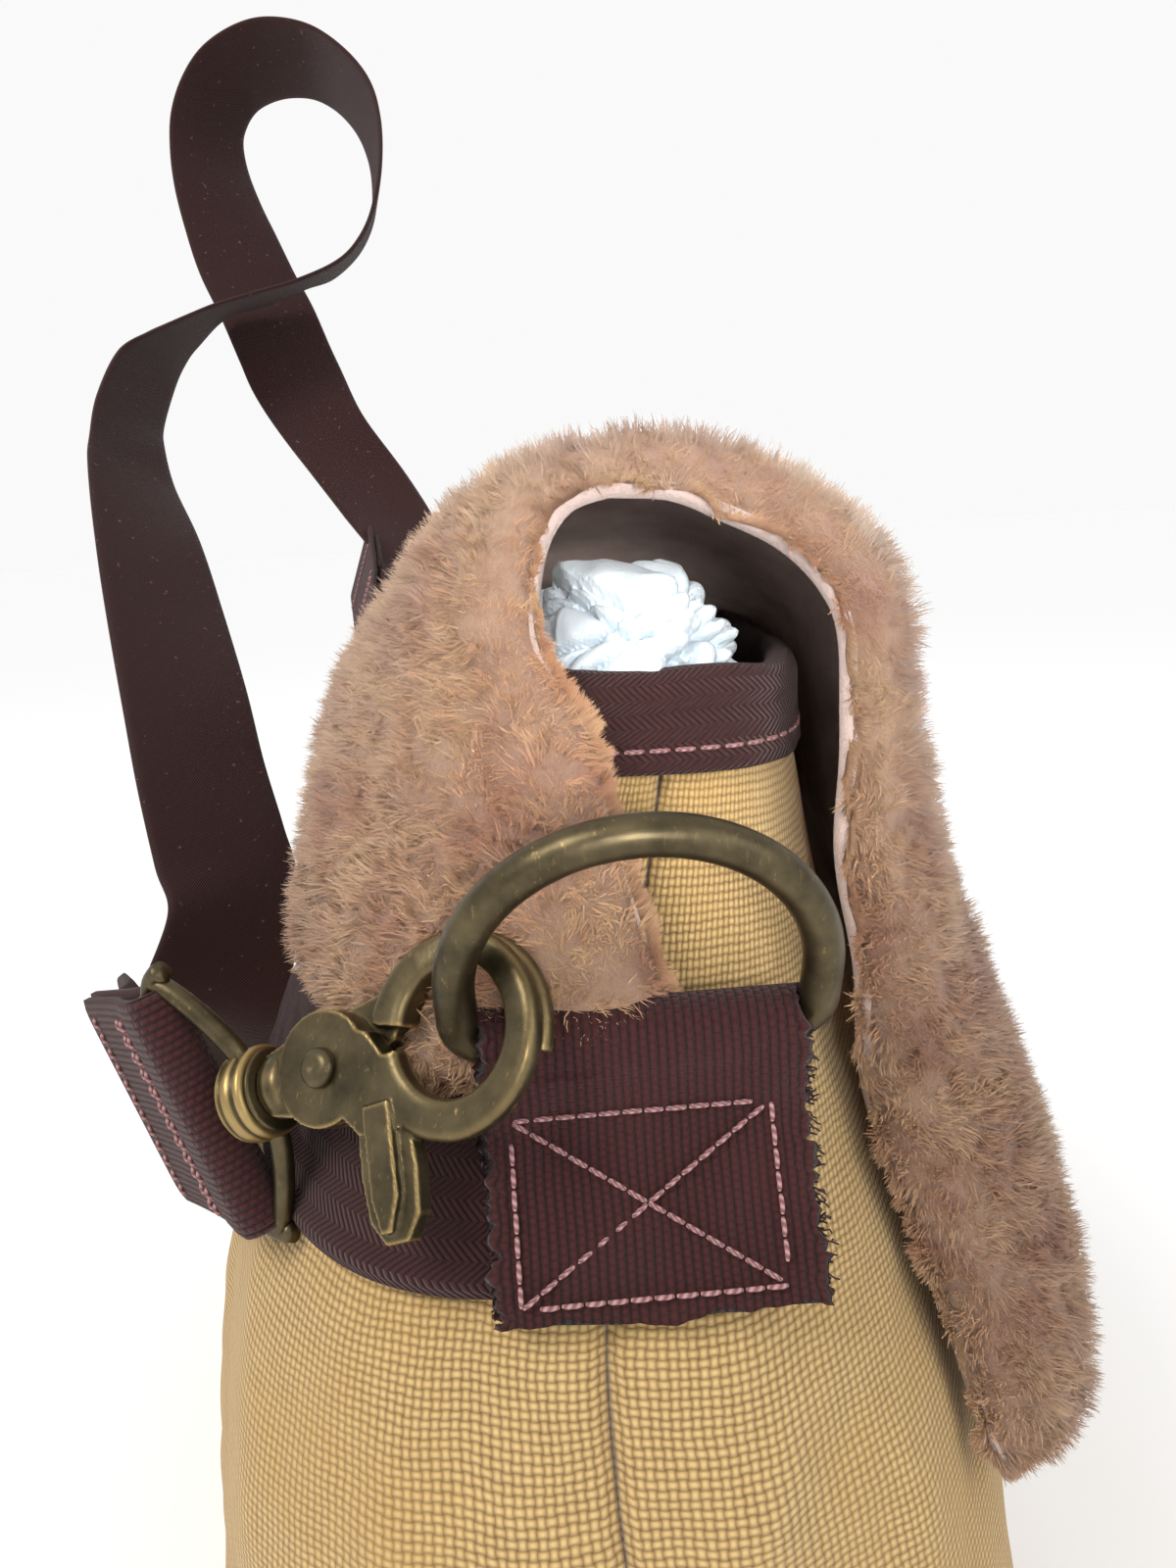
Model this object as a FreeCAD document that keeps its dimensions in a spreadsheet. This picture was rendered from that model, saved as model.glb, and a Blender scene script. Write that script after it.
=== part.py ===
import FreeCAD, Part
import math
import os

import Sketcher

from FreeCAD import Placement, Rotation, Vector

# Canvas shoulder bag with a shearling flap and a clip-on webbing strap.
# Millimetres, +Z up, the bag stands on its base at z = 0 with its length along X.
# The front of the bag faces -Y. "near" is the end at -X, "far" the end at +X.

SIZES = (
    ("bag_height", 300, "base to top of the canvas at the mouth"),
    ("base_half_length", 232, "widest half length of the stuffed body"),
    ("mouth_half_length", 165, "half length of the mouth"),
    ("canvas_thick", 2.4, "heavy canvas with its lining"),
    ("tape_thick", 1.4, "folded twill tape"),
    ("binding_height", 15, "visible height of the mouth binding"),
    ("band_low", 212, "lower edge of the herringbone band"),
    ("band_high", 243, "upper edge of the herringbone band"),
    ("webbing_width", 50, "two inch cotton webbing"),
    ("webbing_thick", 2.6, "thickness of the webbing"),
    ("flap_thick", 13, "leather and pile together"),
    ("end_slope", 26.3, "lean of the end faces from upright, degrees"),
    ("ring_wire", 3.2, "radius of the D-ring wire"),
    ("ring_half_width", 28.5, "half width of the D-ring on its wire's centre"),
    ("ring_height", 40, "height of the D-ring on its wire's centre"),
    ("ring_corner", 3.6, "corner radius beside the straight bar"),
    ("chape_length", 46, "webbing tab below the bar"),
    ("chape_fold", 5.8, "outer radius of the fold over the bar"),
    ("bar_play", 0.35, "play of the bar inside the fold"),
    ("hook_reach", 25, "rivet to the middle of the eye"),
    ("eye_inner", 11.3, "inner radius of the hook's eye"),
    ("eye_outer", 16, "outer radius of the hook's eye"),
    ("jaw_thick", 3.6, "thickness of each half of the hook"),
    ("jaw_gap", 0.3, "gap between the two halves"),
    ("hub_radius", 9, "radius of the boss round the rivet"),
    ("rivet_radius", 2.4, "shank of the pivot rivet"),
    ("rivet_play", 0.05, "running clearance on the rivet"),
    ("rivet_head", 3.4, "radius of the domed rivet head"),
    ("lever_length", 16, "thumb lever beyond the boss"),
    ("lever_width", 7.5, "thumb lever"),
    ("spring_outer", 5.2, "outer radius of the torsion spring"),
    ("spring_wire", 0.7, "half thickness of the torsion spring"),
    ("stud_radius", 3, "swivel stud"),
    ("stud_play", 0.08, "running clearance of the swivel"),
    ("stud_cap", 4.6, "riveted-over end of the swivel stud"),
    ("collar_radius", 7.4, "swivel collar of the bail"),
    ("collar_length", 6, "swivel collar of the bail"),
    ("washer_thick", 1, "washer between collar and hook"),
    ("bail_wire", 1.9, "radius of the bail's wire"),
    ("bail_half", 25.6, "half width of the bail on its wire's centre"),
    ("bail_depth", 14, "collar to the straight bar of the bail"),
)

doc = FreeCAD.newDocument("shoulder_bag")
sheet = doc.addObject("Spreadsheet::Sheet", "Sizes")
for row, (alias, value, note) in enumerate(SIZES, start=1):
    sheet.set(f"A{row}", note)
    sheet.set(f"B{row}", str(value))
    sheet.setAlias(f"B{row}", alias)
doc.recompute()

NODES = []


def size(alias):
    return float(sheet.get(alias))


def bound(kind, name, place=None, **cells):
    """A document object whose properties follow expressions on the sheet."""
    thing = doc.addObject(kind, name)
    for prop, text in cells.items():
        thing.setExpression(prop, text)
    if place:
        thing.Placement = place
    return thing


def joined(kind, name, shapes):
    """A fuse or a cut of document objects."""
    thing = doc.addObject(kind, name)
    if kind == "Part::Cut":
        thing.Base, thing.Tool = shapes
    else:
        thing.Shapes = shapes
    return thing


def node(thing, label, place=None):
    """Registers a finished sub-part under the name of its file."""
    if place:
        thing.Placement = place
    thing.Label = label
    NODES.append(thing)
    return thing


def feature(label, shape, place=None):
    """A free-form sub-part whose shape comes straight from Part."""
    thing = doc.addObject("Part::Feature", label)
    thing.Shape = shape
    return node(thing, label, place)


def facing(origin, along, up):
    """A placement with local X along one direction and local Y near another."""
    x_axis = Vector(*along).normalize()
    z_axis = x_axis.cross(Vector(*up)).normalize()
    return Placement(Vector(*origin), Rotation(x_axis, z_axis.cross(x_axis), z_axis, "XYZ"))


# ---------------------------------------------------------------- canvas body

# Each row: height, half length, front edge and back edge of the stuffed body.
BODY = (
    (0, 216, -62, 78),
    (14, 226, -74, 93),
    (80, size("base_half_length"), -82, 106),
    (140, 227, -79, 106),
    (200, 209.5, -60, 92),
    (245, 187.5, -45, 62),
    (285, 169.5, -37, 36),
    (size("bag_height"), size("mouth_half_length"), -36, 28),
)
BODY_POWER = 2.7


def body_row(z):
    """The body's half length, front and back at a height, between the rows above."""
    for low, high in zip(BODY, BODY[1:]):
        if z <= high[0]:
            break
    share = (z - low[0]) / (high[0] - low[0])
    return [a + (b - a) * share for a, b in zip(low[1:], high[1:])]


def oval(z, grow):
    """A closed super-ellipse at one height, grown outwards by a distance."""
    half, front, back = body_row(z)
    middle, deep = (front + back) / 2, (back - front) / 2 + grow
    points = []
    steps = 40
    for i in range(steps):
        turn = 2 * math.pi * i / steps
        c, s = math.cos(turn), math.sin(turn)
        points.append(
            Vector(
                math.copysign(abs(c) ** (2 / BODY_POWER), c) * (half + grow),
                middle + math.copysign(abs(s) ** (2 / BODY_POWER), s) * deep,
                z,
            )
        )
    curve = Part.BSplineCurve()
    curve.interpolate(points, PeriodicFlag=True)
    return Part.Wire([curve.toShape()])


def stuffed(low, high, grow):
    """A solid of the body's outer shape between two heights, grown by a distance."""
    heights = [low] + [row[0] for row in BODY if low < row[0] < high] + [high]
    return Part.makeLoft([oval(z, grow) for z in heights], True, True)


def half_space(front):
    """A box that covers the front or the back half of the bag."""
    wide = 2 * size("base_half_length") + 200
    start = Vector(-wide / 2, -wide if front else 0, -wide)
    return Part.makeBox(wide, wide, 3 * wide, start)


BASE_PLAY = 0.2


def canvas_body():
    wall, top = size("canvas_thick"), size("bag_height")
    tube = stuffed(0, top, 0).cut(stuffed(0, top, -wall))
    feature("front_panel", tube.common(half_space(True)))
    feature("back_panel", tube.common(half_space(False)))
    feature("bottom_panel", stuffed(0, wall, -wall - BASE_PLAY))


# The band on the back panel stops beside the tabs of the D-rings.
BAND_EDGE = 36


def tapes():
    wall, tape, top = size("canvas_thick"), size("tape_thick"), size("bag_height")
    low = top - size("binding_height")
    outside = stuffed(low, top, tape)
    lid = Part.Face(oval(top, tape)).extrude(Vector(0, 0, tape))
    hollow = stuffed(low, top, -wall - tape)
    well = Part.Face(oval(top, -wall - tape)).extrude(Vector(0, 0, tape))
    channel = stuffed(low, top, 0).cut(stuffed(low, top, -wall))
    feature("rim_binding", outside.fuse(lid).cut(hollow.fuse(well)).cut(channel).removeSplitter())
    low, high = size("band_low"), size("band_high")
    ring = stuffed(low, high, tape).cut(stuffed(low, high, 0))
    behind = half_space(False).translated(Vector(0, BAND_EDGE, 0))
    feature("back_band", ring.common(behind))


# ------------------------------------------------------------ shearling flap

# Inner (leather) side of the flap from the back seam over the mouth to the front
# hem, as (y, z), at the end, at a quarter of the length and in the middle.
FLAP_END = (
    (43, 246), (32, 268), (24, 290), (22, 306), (19, 322), (13, 329), (0, 332),
    (-13, 328), (-25, 320), (-32, 309), (-33, 292), (-33, 262), (-34, 232),
    (-41, 203), (-53, 157),
)
FLAP_QUARTER = (
    (67, 246), (58, 268), (49, 290), (42, 306), (30, 321), (13, 330), (0, 332),
    (-15, 330), (-29, 323), (-39, 312), (-43, 295), (-48, 262), (-56, 232),
    (-64, 203), (-72, 157),
)
FLAP_MIDDLE = (
    (74, 246), (66, 268), (57, 290), (50, 306), (35, 323), (13, 331), (0, 332),
    (-16, 331), (-33, 325), (-45, 314), (-50, 297), (-56, 262), (-64, 232),
    (-72, 203), (-80, 157),
)
FLAP_PARTS = {"flap_back": (0, 6), "flap_front": (5, 15)}
HINGE_PLAY = 0.5


def flap_outline(profile, first, last, station):
    """A closed outline of one part of the flap on a plane that leans with the bag's end."""
    inner = [Vector(0, y, z) for y, z in profile]
    normals = []
    for i in range(len(inner)):
        run = inner[min(i + 1, len(inner) - 1)] - inner[max(i - 1, 0)]
        normals.append(Vector(0, run.z, -run.y).normalize() * -1)
    thick = size("flap_thick")
    outer = [p - n * thick for p, n in zip(inner, normals)]
    inside, outside = inner[first:last], outer[first:last]
    hinge = profile[5][0]
    shift = HINGE_PLAY / 2
    for line in (inside, outside):
        edge = -1 if first == 0 else 0
        line[edge] = Vector(0, hinge + (shift if first == 0 else -shift), line[edge].z)
    points = inside + outside[::-1]
    lean = math.tan(math.radians(size("end_slope"))) * 0.32
    placed = [Vector(station[0] + station[1] * (332 - p.z) * lean, p.y, p.z) for p in points]
    return Part.makePolygon(placed + placed[:1])


def flap():
    stations = (
        (FLAP_END, (-158, -1)),
        (FLAP_QUARTER, (-95, -0.6)),
        (FLAP_MIDDLE, (0, 0)),
        (FLAP_QUARTER, (95, 0.6)),
        (FLAP_END, (158, 1)),
    )
    for label, (first, last) in FLAP_PARTS.items():
        wires = [flap_outline(profile, first, last, where) for profile, where in stations]
        feature(label, Part.makeLoft(wires, True, True))


def tissue():
    """The wad of paper that keeps the near end of the mouth open."""
    wad = Part.makeSphere(1)
    matrix = FreeCAD.Matrix()
    matrix.scale(27, 15, 15)
    feature("tissue_wad", wad.transformGeometry(matrix), Placement(Vector(-131, -5, 300), Rotation()))


# ------------------------------------------------- D-rings and their webbing tabs


def swept(name, edges, wire_cell, normal):
    """A round wire along a closed or open path in its local frame."""
    path = doc.addObject("Part::Feature", name + "_path")
    path.Shape = Part.Wire(Part.__sortEdges__(edges))
    start = edges[0].valueAt(edges[0].FirstParameter)
    section = bound("Part::Circle", name + "_section", Radius=wire_cell)
    section.Placement = Placement(start, Rotation(Vector(0, 0, 1), Vector(*normal)))
    pipe = doc.addObject("Part::Sweep", name)
    pipe.Sections = [section]
    pipe.Spine = (path, [f"Edge{i + 1}" for i in range(len(path.Shape.Edges))])
    pipe.Solid = True
    return pipe


def tube(edges, radius):
    """A round wire along a smooth open path."""
    path = Part.Wire(Part.__sortEdges__(edges))
    first = path.OrderedEdges[0]
    begin = path.OrderedVertexes[0].Point
    ends = [first.valueAt(first.FirstParameter), first.valueAt(first.LastParameter)]
    ahead = ends[1] - ends[0] if ends[0].isEqual(begin, 1e-6) else ends[0] - ends[1]
    section = Part.Wire([Part.Circle(begin, ahead, radius).toShape()])
    return path.makePipeShell([section], True, False)


def arc(centre, radius, start, end):
    """An arc in the local XY plane between two angles in degrees."""
    circle = Part.Circle(Vector(*centre), Vector(0, 0, 1), radius)
    return Part.Arc(circle, math.radians(start), math.radians(end)).toShape()


def line(a, b):
    return Part.LineSegment(Vector(*a), Vector(*b)).toShape()


def d_ring(end, place):
    """Straight bar along local X through the origin, the bow rising along local Y."""
    half, corner = size("ring_half_width"), size("ring_corner")
    leg = size("ring_height") - half
    edges = [
        line((0, 0, 0), (half - corner, 0, 0)),
        arc((half - corner, corner, 0), corner, -90, 0),
        line((half, corner, 0), (half, leg, 0)),
        arc((0, leg, 0), half, 0, 180),
        line((-half, leg, 0), (-half, corner, 0)),
        arc((-half + corner, corner, 0), corner, 180, 270),
        line((-half + corner, 0, 0), (0, 0, 0)),
    ]
    node(swept(f"{end}_ring", edges, "Sizes.ring_wire", (1, 0, 0)), f"{end}_d_ring", place)


def chape(end, place):
    """Webbing folded over the bar and sewn flat; local X along the bar, Y up the slope."""
    fold, long = size("chape_fold"), size("chape_length")
    body = doc.addObject("PartDesign::Body", f"{end}_chape_body")
    plane = [f for f in body.Origin.OriginFeatures if f.Role == "YZ_Plane"][0]
    sketch = body.newObject("Sketcher::SketchObject", f"{end}_chape_side")
    sketch.AttachmentSupport = (plane, "")
    sketch.MapMode = "FlatFace"
    back, face = -fold, -fold + 2 * size("webbing_thick")
    sewn = -18
    outline = [(0, back), (-long, back), (-long, face), (sewn, face), (0, fold)]
    for a, b in zip(outline, outline[1:]):
        sketch.addGeometry(Part.LineSegment(Vector(*a, 0), Vector(*b, 0)), False)
    over = Part.Arc(Vector(0, fold, 0), Vector(fold, 0, 0), Vector(0, -fold, 0))
    sketch.addGeometry(over, False)
    pad = body.newObject("PartDesign::Pad", f"{end}_chape_pad")
    pad.Profile = sketch
    pad.Midplane = True
    pad.setExpression("Length", "Sizes.webbing_width")
    bore = body.newObject("Sketcher::SketchObject", f"{end}_chape_bore")
    bore.AttachmentSupport = (plane, "")
    bore.MapMode = "FlatFace"
    bore.addGeometry(Part.Circle(Vector(0, 0, 0), Vector(0, 0, 1), size("ring_wire")), False)
    bore.addConstraint(Sketcher.Constraint("Coincident", 0, 3, -1, 1))
    bore.addConstraint(Sketcher.Constraint("Radius", 0, size("ring_wire")))
    bore.setExpression("Constraints[1]", "Sizes.ring_wire + Sizes.bar_play")
    pocket = body.newObject("PartDesign::Pocket", f"{end}_chape_pocket")
    pocket.Profile = bore
    pocket.Midplane = True
    pocket.Type = "ThroughAll"
    body.Tip = pocket
    node(body, f"{end}_chape", place)


# --------------------------------------------------------------- trigger hooks
# Local frame of a hook: origin on the rivet between the two halves, X towards
# the eye, Z towards the side with the moving jaw. The shank lies along -X.


def plate(name, thick_cell, low_cell, edges):
    """A flat casting of the given outline, extruded along local Z."""
    face = doc.addObject("Part::Feature", name + "_outline")
    face.Shape = Part.Face(Part.Wire(Part.__sortEdges__(edges)))
    solid = doc.addObject("Part::Extrusion", name)
    solid.Base = face
    solid.DirMode = "Custom"
    solid.Dir = Vector(0, 0, 1)
    solid.Solid = True
    solid.setExpression("LengthFwd", thick_cell)
    solid.setExpression("Placement.Base.z", low_cell)
    return solid


def ring_sector(start, end):
    """Outline of a part of the eye between two angles seen from its middle."""
    reach, inner, outer = size("hook_reach"), size("eye_inner"), size("eye_outer")

    def spot(radius, angle):
        return (
            reach + radius * math.cos(math.radians(angle)),
            radius * math.sin(math.radians(angle)),
            0,
        )

    return [
        arc((reach, 0, 0), outer, start, end),
        line(spot(outer, end), spot(inner, end)),
        arc((reach, 0, 0), inner, start, end),
        line(spot(inner, start), spot(outer, start)),
    ]


def disc(name, radius, low, thick):
    solid = bound("Part::Cylinder", name, Radius=radius, Height=thick)
    solid.setExpression("Placement.Base.z", low)
    return solid


def hook_body(end, place):
    """Fixed jaw with its boss, neck and swivel stud; a slot in the boss takes the spring."""
    gap, thick = "Sizes.jaw_gap / 2", "Sizes.jaw_thick"
    low = f"-{gap} - {thick}"
    eye = plate(f"{end}_fixed_eye", thick, low, ring_sector(-25, 175))
    boss = disc(f"{end}_fixed_boss", "Sizes.hub_radius", low, thick)
    neck = bound("Part::Box", f"{end}_neck", Length="5", Width="Sizes.stud_cap * 2", Height=thick)
    neck.setExpression("Placement.Base.x", "-Sizes.hub_radius - 2.6")
    neck.setExpression("Placement.Base.y", "-Sizes.stud_cap")
    neck.setExpression("Placement.Base.z", low)
    turned = Rotation(Vector(0, 0, 1), Vector(-1, 0, 0))
    root = bound("Part::Cylinder", f"{end}_stud_root", Radius="Sizes.stud_cap", Height="2.4")
    root.Placement = Placement(Vector(-size("hub_radius") - 0.6, 0, 0), turned)
    stud = bound(
        "Part::Cylinder",
        f"{end}_stud",
        Radius="Sizes.stud_radius",
        Height="Sizes.collar_length + Sizes.washer_thick + 3.4",
    )
    stud.Placement = Placement(Vector(-size("hub_radius") - 2.2, 0, 0), turned)
    cap = bound("Part::Cylinder", f"{end}_stud_cap", Radius="Sizes.stud_cap", Height="1.6")
    reach = size("hub_radius") + 3.8 + size("washer_thick") + size("collar_length")
    cap.Placement = Placement(Vector(-reach, 0, 0), turned)
    whole = joined("Part::MultiFuse", f"{end}_fixed_raw", [eye, boss, neck, root, stud, cap])
    hole = disc(f"{end}_fixed_hole", "Sizes.rivet_radius", low, thick)
    well = disc(f"{end}_spring_well", "Sizes.spring_outer + 0.3", f"-{gap} - 1.7", "2")
    tools = joined("Part::MultiFuse", f"{end}_fixed_tools", [hole, well])
    node(joined("Part::Cut", f"{end}_fixed", [whole, tools]), f"{end}_hook_body", place)


def hook_jaw(end, place):
    """Moving jaw: boss, lower and outer arc of the eye, and the thumb lever."""
    gap, thick = "Sizes.jaw_gap / 2", "Sizes.jaw_thick"
    eye = plate(f"{end}_moving_eye", thick, gap, ring_sector(-178, 62))
    boss = disc(f"{end}_moving_boss", "Sizes.hub_radius", gap, thick)
    lever = bound(
        "Part::Box",
        f"{end}_lever",
        Length="Sizes.lever_width",
        Width="Sizes.lever_length + Sizes.hub_radius",
        Height=thick,
    )
    lever.setExpression("Placement.Base.x", "1.5")
    lever.setExpression("Placement.Base.y", "-Sizes.lever_length - Sizes.hub_radius")
    lever.setExpression("Placement.Base.z", gap)
    tip = disc(f"{end}_lever_tip", "Sizes.lever_width / 2", gap, thick)
    tip.setExpression("Placement.Base.x", "1.5 + Sizes.lever_width / 2")
    tip.setExpression("Placement.Base.y", "-Sizes.lever_length - Sizes.hub_radius")
    whole = joined("Part::MultiFuse", f"{end}_moving_raw", [eye, boss, lever, tip])
    hole = disc(f"{end}_moving_hole", "Sizes.rivet_radius + Sizes.rivet_play", gap, thick)
    node(joined("Part::Cut", f"{end}_moving", [whole, hole]), f"{end}_trigger_jaw", place)


def rivet(end, place):
    """Shank pressed into the fixed jaw, with a domed head outside the moving jaw."""
    grip = "2 * Sizes.jaw_thick + Sizes.jaw_gap"
    shank = disc(f"{end}_rivet_shank", "Sizes.rivet_radius", "-Sizes.jaw_gap / 2 - Sizes.jaw_thick", grip)
    shank.setExpression("Height", grip + " + 0.1")
    low = "Sizes.jaw_gap / 2 + Sizes.jaw_thick + 0.1"
    flat = disc(f"{end}_rivet_flat", "Sizes.rivet_head", low, "0.8")
    dome = bound("Part::Cone", f"{end}_rivet_dome", Radius1="Sizes.rivet_head", Radius2="1.6", Height="1")
    dome.setExpression("Placement.Base.z", low + " + 0.8")
    node(joined("Part::MultiFuse", f"{end}_rivet_solid", [shank, flat, dome]), f"{end}_rivet", place)


def spring(end, place):
    """Torsion spring lying in the well of the fixed jaw, as a flat coil."""
    low = "-Sizes.jaw_gap / 2 - 1.6"
    coil = disc(f"{end}_coil", "Sizes.spring_outer", low, "2 * Sizes.spring_wire")
    middle = disc(f"{end}_coil_hole", "Sizes.rivet_radius + 0.4", low, "2 * Sizes.spring_wire")
    node(joined("Part::Cut", f"{end}_coil_ring", [coil, middle]), f"{end}_trigger_spring", place)


def swivel_washer(end, place):
    turned = Rotation(Vector(0, 0, 1), Vector(-1, 0, 0))
    away = Placement(Vector(-size("hub_radius") - 3.2, 0, 0), turned)
    bore = "Sizes.stud_radius + Sizes.stud_play"
    disc_solid = bound("Part::Cylinder", f"{end}_washer_disc", away, Radius="Sizes.collar_radius - 0.8",
                       Height="Sizes.washer_thick")
    hole = bound("Part::Cylinder", f"{end}_washer_hole", away, Radius=bore, Height="Sizes.washer_thick")
    node(joined("Part::Cut", f"{end}_washer_cut", [disc_solid, hole]), f"{end}_swivel_washer", place)


def bail(end, place):
    """Collar that turns on the stud, and a wire bow with a straight bar for the strap."""
    turned = Rotation(Vector(0, 0, 1), Vector(-1, 0, 0))
    start = size("hub_radius") + 3.5 + size("washer_thick")
    away = Placement(Vector(-start, 0, 0), turned)
    length = "Sizes.collar_length"
    collar = bound("Part::Cylinder", f"{end}_collar", away, Radius="Sizes.collar_radius", Height=length)
    bore = bound("Part::Cylinder", f"{end}_collar_bore", away,
                 Radius="Sizes.stud_radius + Sizes.stud_play", Height=length)
    half, corner = size("bail_half"), 5
    near, bar = -start - 3, -start - size("collar_length") - size("bail_depth")
    edges = [line((bar, half - corner, 0), (bar, -half + corner, 0))]
    for side in (1, -1):
        arm = Part.BSplineCurve()
        arm.interpolate(
            [Vector(near, side * 5.2, 0), Vector(near - 5, side * 17, 0), Vector(bar + corner, side * half, 0)],
            Tangents=[Vector(-2, side * 8, 0), Vector(-6, side * 8, 0), Vector(-6, 0, 0)],
            TangentFlags=[True, True, True],
        )
        turn = (90, 180) if side > 0 else (180, 270)
        edges += [arm.toShape(), arc((bar + corner, side * (half - corner), 0), corner, *turn)]
    bow = doc.addObject("Part::Feature", f"{end}_bow")
    bow.Shape = tube(edges, size("bail_wire"))
    whole = joined("Part::MultiFuse", f"{end}_bail_raw", [collar, bow])
    node(joined("Part::Cut", f"{end}_bail_cut", [whole, bore]), f"{end}_bail", place)


# ------------------------------------------------------------- webbing strap

# The strap's centre line from the near bail to the far one, with the direction of
# its width at each point: it runs back beside the bag, stands up past the far end
# in one twisted loop and comes down to the far hook.
STRAP = (
    ((-164, 84, 231), (0.12, 0.38, 0.92)),
    ((-112, 105, 213), (0.12, 0.45, 0.88)),
    ((-45, 124, 192), (0.05, 0.72, 0.69)),
    ((0, 133, 178), (-0.1, 0.9, 0.42)),
    ((20, 133, 183), (-0.45, 0.85, 0.25)),
    ((37, 126, 208), (-0.66, 0.75, -0.0)),
    ((72, 141, 246), (-0.63, 0.78, -0.02)),
    ((124, 161, 304), (-0.68, 0.73, 0.07)),
    ((179, 183, 361), (-0.87, 0.46, 0.19)),
    ((208, 188, 392), (-0.93, 0.28, 0.21)),
    ((237, 176, 423), (-0.99, 0.07, 0.13)),
    ((260, 154, 443), (-1.0, -0.06, -0.08)),
    ((275, 115, 457), (-0.99, -0.06, -0.12)),
    ((286, 87, 475), (-0.99, -0.12, -0.08)),
    ((299, 75, 509), (-0.97, -0.18, 0.16)),
    ((316, 80, 550), (-0.94, -0.21, 0.26)),
    ((332, 106, 578), (-0.91, -0.08, 0.4)),
    ((342, 138, 582), (-0.88, 0.17, 0.45)),
    ((344, 161, 565), (-0.86, 0.45, 0.24)),
    ((337, 166, 534), (-0.76, 0.64, 0.07)),
    ((321, 156, 494), (-0.54, 0.84, -0.01)),
    ((301, 138, 449), (-0.42, 0.9, -0.11)),
    ((277, 116, 395), (-0.09, 0.99, 0.09)),
    ((250, 80, 341), (-0.49, 0.87, 0.08)),
    ((232, 69, 314), (-0.74, 0.66, 0.12)),
    ((222, 80, 306), (-0.7, 0.2, 0.5)),
    ((212, 90, 300), (-0.53, -0.33, 0.78)),
)


def ribbon(points, thick):
    """A flat band through centre points, each given with the direction of its width."""
    wires = []
    half = size("webbing_width") / 2
    for i, (place, across) in enumerate(points):
        run = Vector(*points[min(i + 1, len(points) - 1)][0]) - Vector(*points[max(i - 1, 0)][0])
        run.normalize()
        wide = Vector(*across)
        wide = (wide - run * wide.dot(run)).normalize() * half
        thin = run.cross(wide).normalize() * (thick / 2)
        middle = Vector(*place)
        corners = [middle + wide + thin, middle - wide + thin, middle - wide - thin, middle + wide - thin]
        wires.append(Part.makePolygon(corners + corners[:1]))
    return Part.makeLoft(wires, True, True)


def strap_loop(end, place):
    """The strap's end folded round the bail's bar and sewn back on itself.
    Local frame of the bail: the bar runs along Y at negative X."""
    wire = size("bail_wire") + 0.3
    outer = wire + size("webbing_thick")
    half = size("webbing_width") / 2 - 3.4
    ring = Part.makeCylinder(outer, 2 * half, Vector(0, -half, 0), Vector(0, 1, 0))
    ring = ring.cut(Part.makeCylinder(wire, 2 * half, Vector(0, -half, 0), Vector(0, 1, 0)))
    feature(f"{end}_strap_loop", ring, place)


def strap():
    feature("shoulder_strap", ribbon(STRAP, size("webbing_thick")))


# ------------------------------------------------------------------ assembly

slope = math.radians(size("end_slope"))
NEAR_BAR, FAR_BAR = (-194.6, 8, 248), (194.6, 8, 248)
UP_SLOPE = {"near": (math.sin(slope), 0, math.cos(slope)), "far": (-math.sin(slope), 0, math.cos(slope))}
# The bows of the D-rings lean outwards, held up by the hooks.
RING_LEAN = {"near": math.radians(24), "far": math.radians(12)}
SIDE = {"near": -1, "far": 1}
HOOKS = {
    # end: middle of the eye, direction from bail to eye, up direction of the hook, and of the bail
    "near": ((-197.7, 36.2, 252), (-0.405, -0.836, 0.371), (0.56, 0.09, 0.82), (0.123, 0.376, 0.917)),
    "far": ((199.8, 37.6, 265.3), (-0.035, -0.911, -0.41), (-0.978, 0.116, -0.173), (0.525, 0.332, -0.783)),
}


def assemble():
    canvas_body()
    tapes()
    flap()
    tissue()
    strap()
    for end in ("near", "far"):
        bar = NEAR_BAR if end == "near" else FAR_BAR
        along = (0, SIDE[end], 0)
        chape(end, facing(bar, along, UP_SLOPE[end]))
        lean = RING_LEAN[end]
        d_ring(end, facing(bar, along, (SIDE[end] * math.sin(lean), 0, math.cos(lean))))
        eye, shank, hook_up, bail_up = HOOKS[end]
        axis = Vector(*shank).normalize()
        origin = Vector(*eye) - axis * size("hook_reach")
        hook_place = facing(origin, axis, hook_up)
        bail_place = facing(origin, axis, bail_up)
        for make in (hook_body, hook_jaw, rivet, spring, swivel_washer):
            make(end, hook_place)
        bail(end, bail_place)
        back = size("hub_radius") + 3.5 + size("washer_thick") + size("collar_length") + size("bail_depth")
        strap_loop(end, bail_place.multiply(Placement(Vector(-back, 0, 0), Rotation())))


def export():
    doc.recompute()
    for thing in doc.Objects:
        if "Invalid" in thing.State or "Error" in thing.State:
            raise RuntimeError(f"{thing.Label} did not recompute: {thing.State}")
    os.makedirs("parts", exist_ok=True)
    for thing in NODES:
        shape = thing.Shape
        if shape.isNull() or not shape.isValid() or not shape.Solids:
            raise RuntimeError(f"{thing.Label} has no valid solid")
        shape.exportStep(f"parts/{thing.Label}.step")
        box = shape.BoundBox
        print(f"{thing.Label:22s} {shape.Volume:12.0f} mm3 {len(shape.Solids)} solid  "
              f"x {box.XMin:.0f}..{box.XMax:.0f} y {box.YMin:.0f}..{box.YMax:.0f} z {box.ZMin:.0f}..{box.ZMax:.0f}")


assemble()
export()
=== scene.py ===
import math

import bmesh
import bpy
import numpy as np
from mathutils import Matrix, Vector, noise


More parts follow.
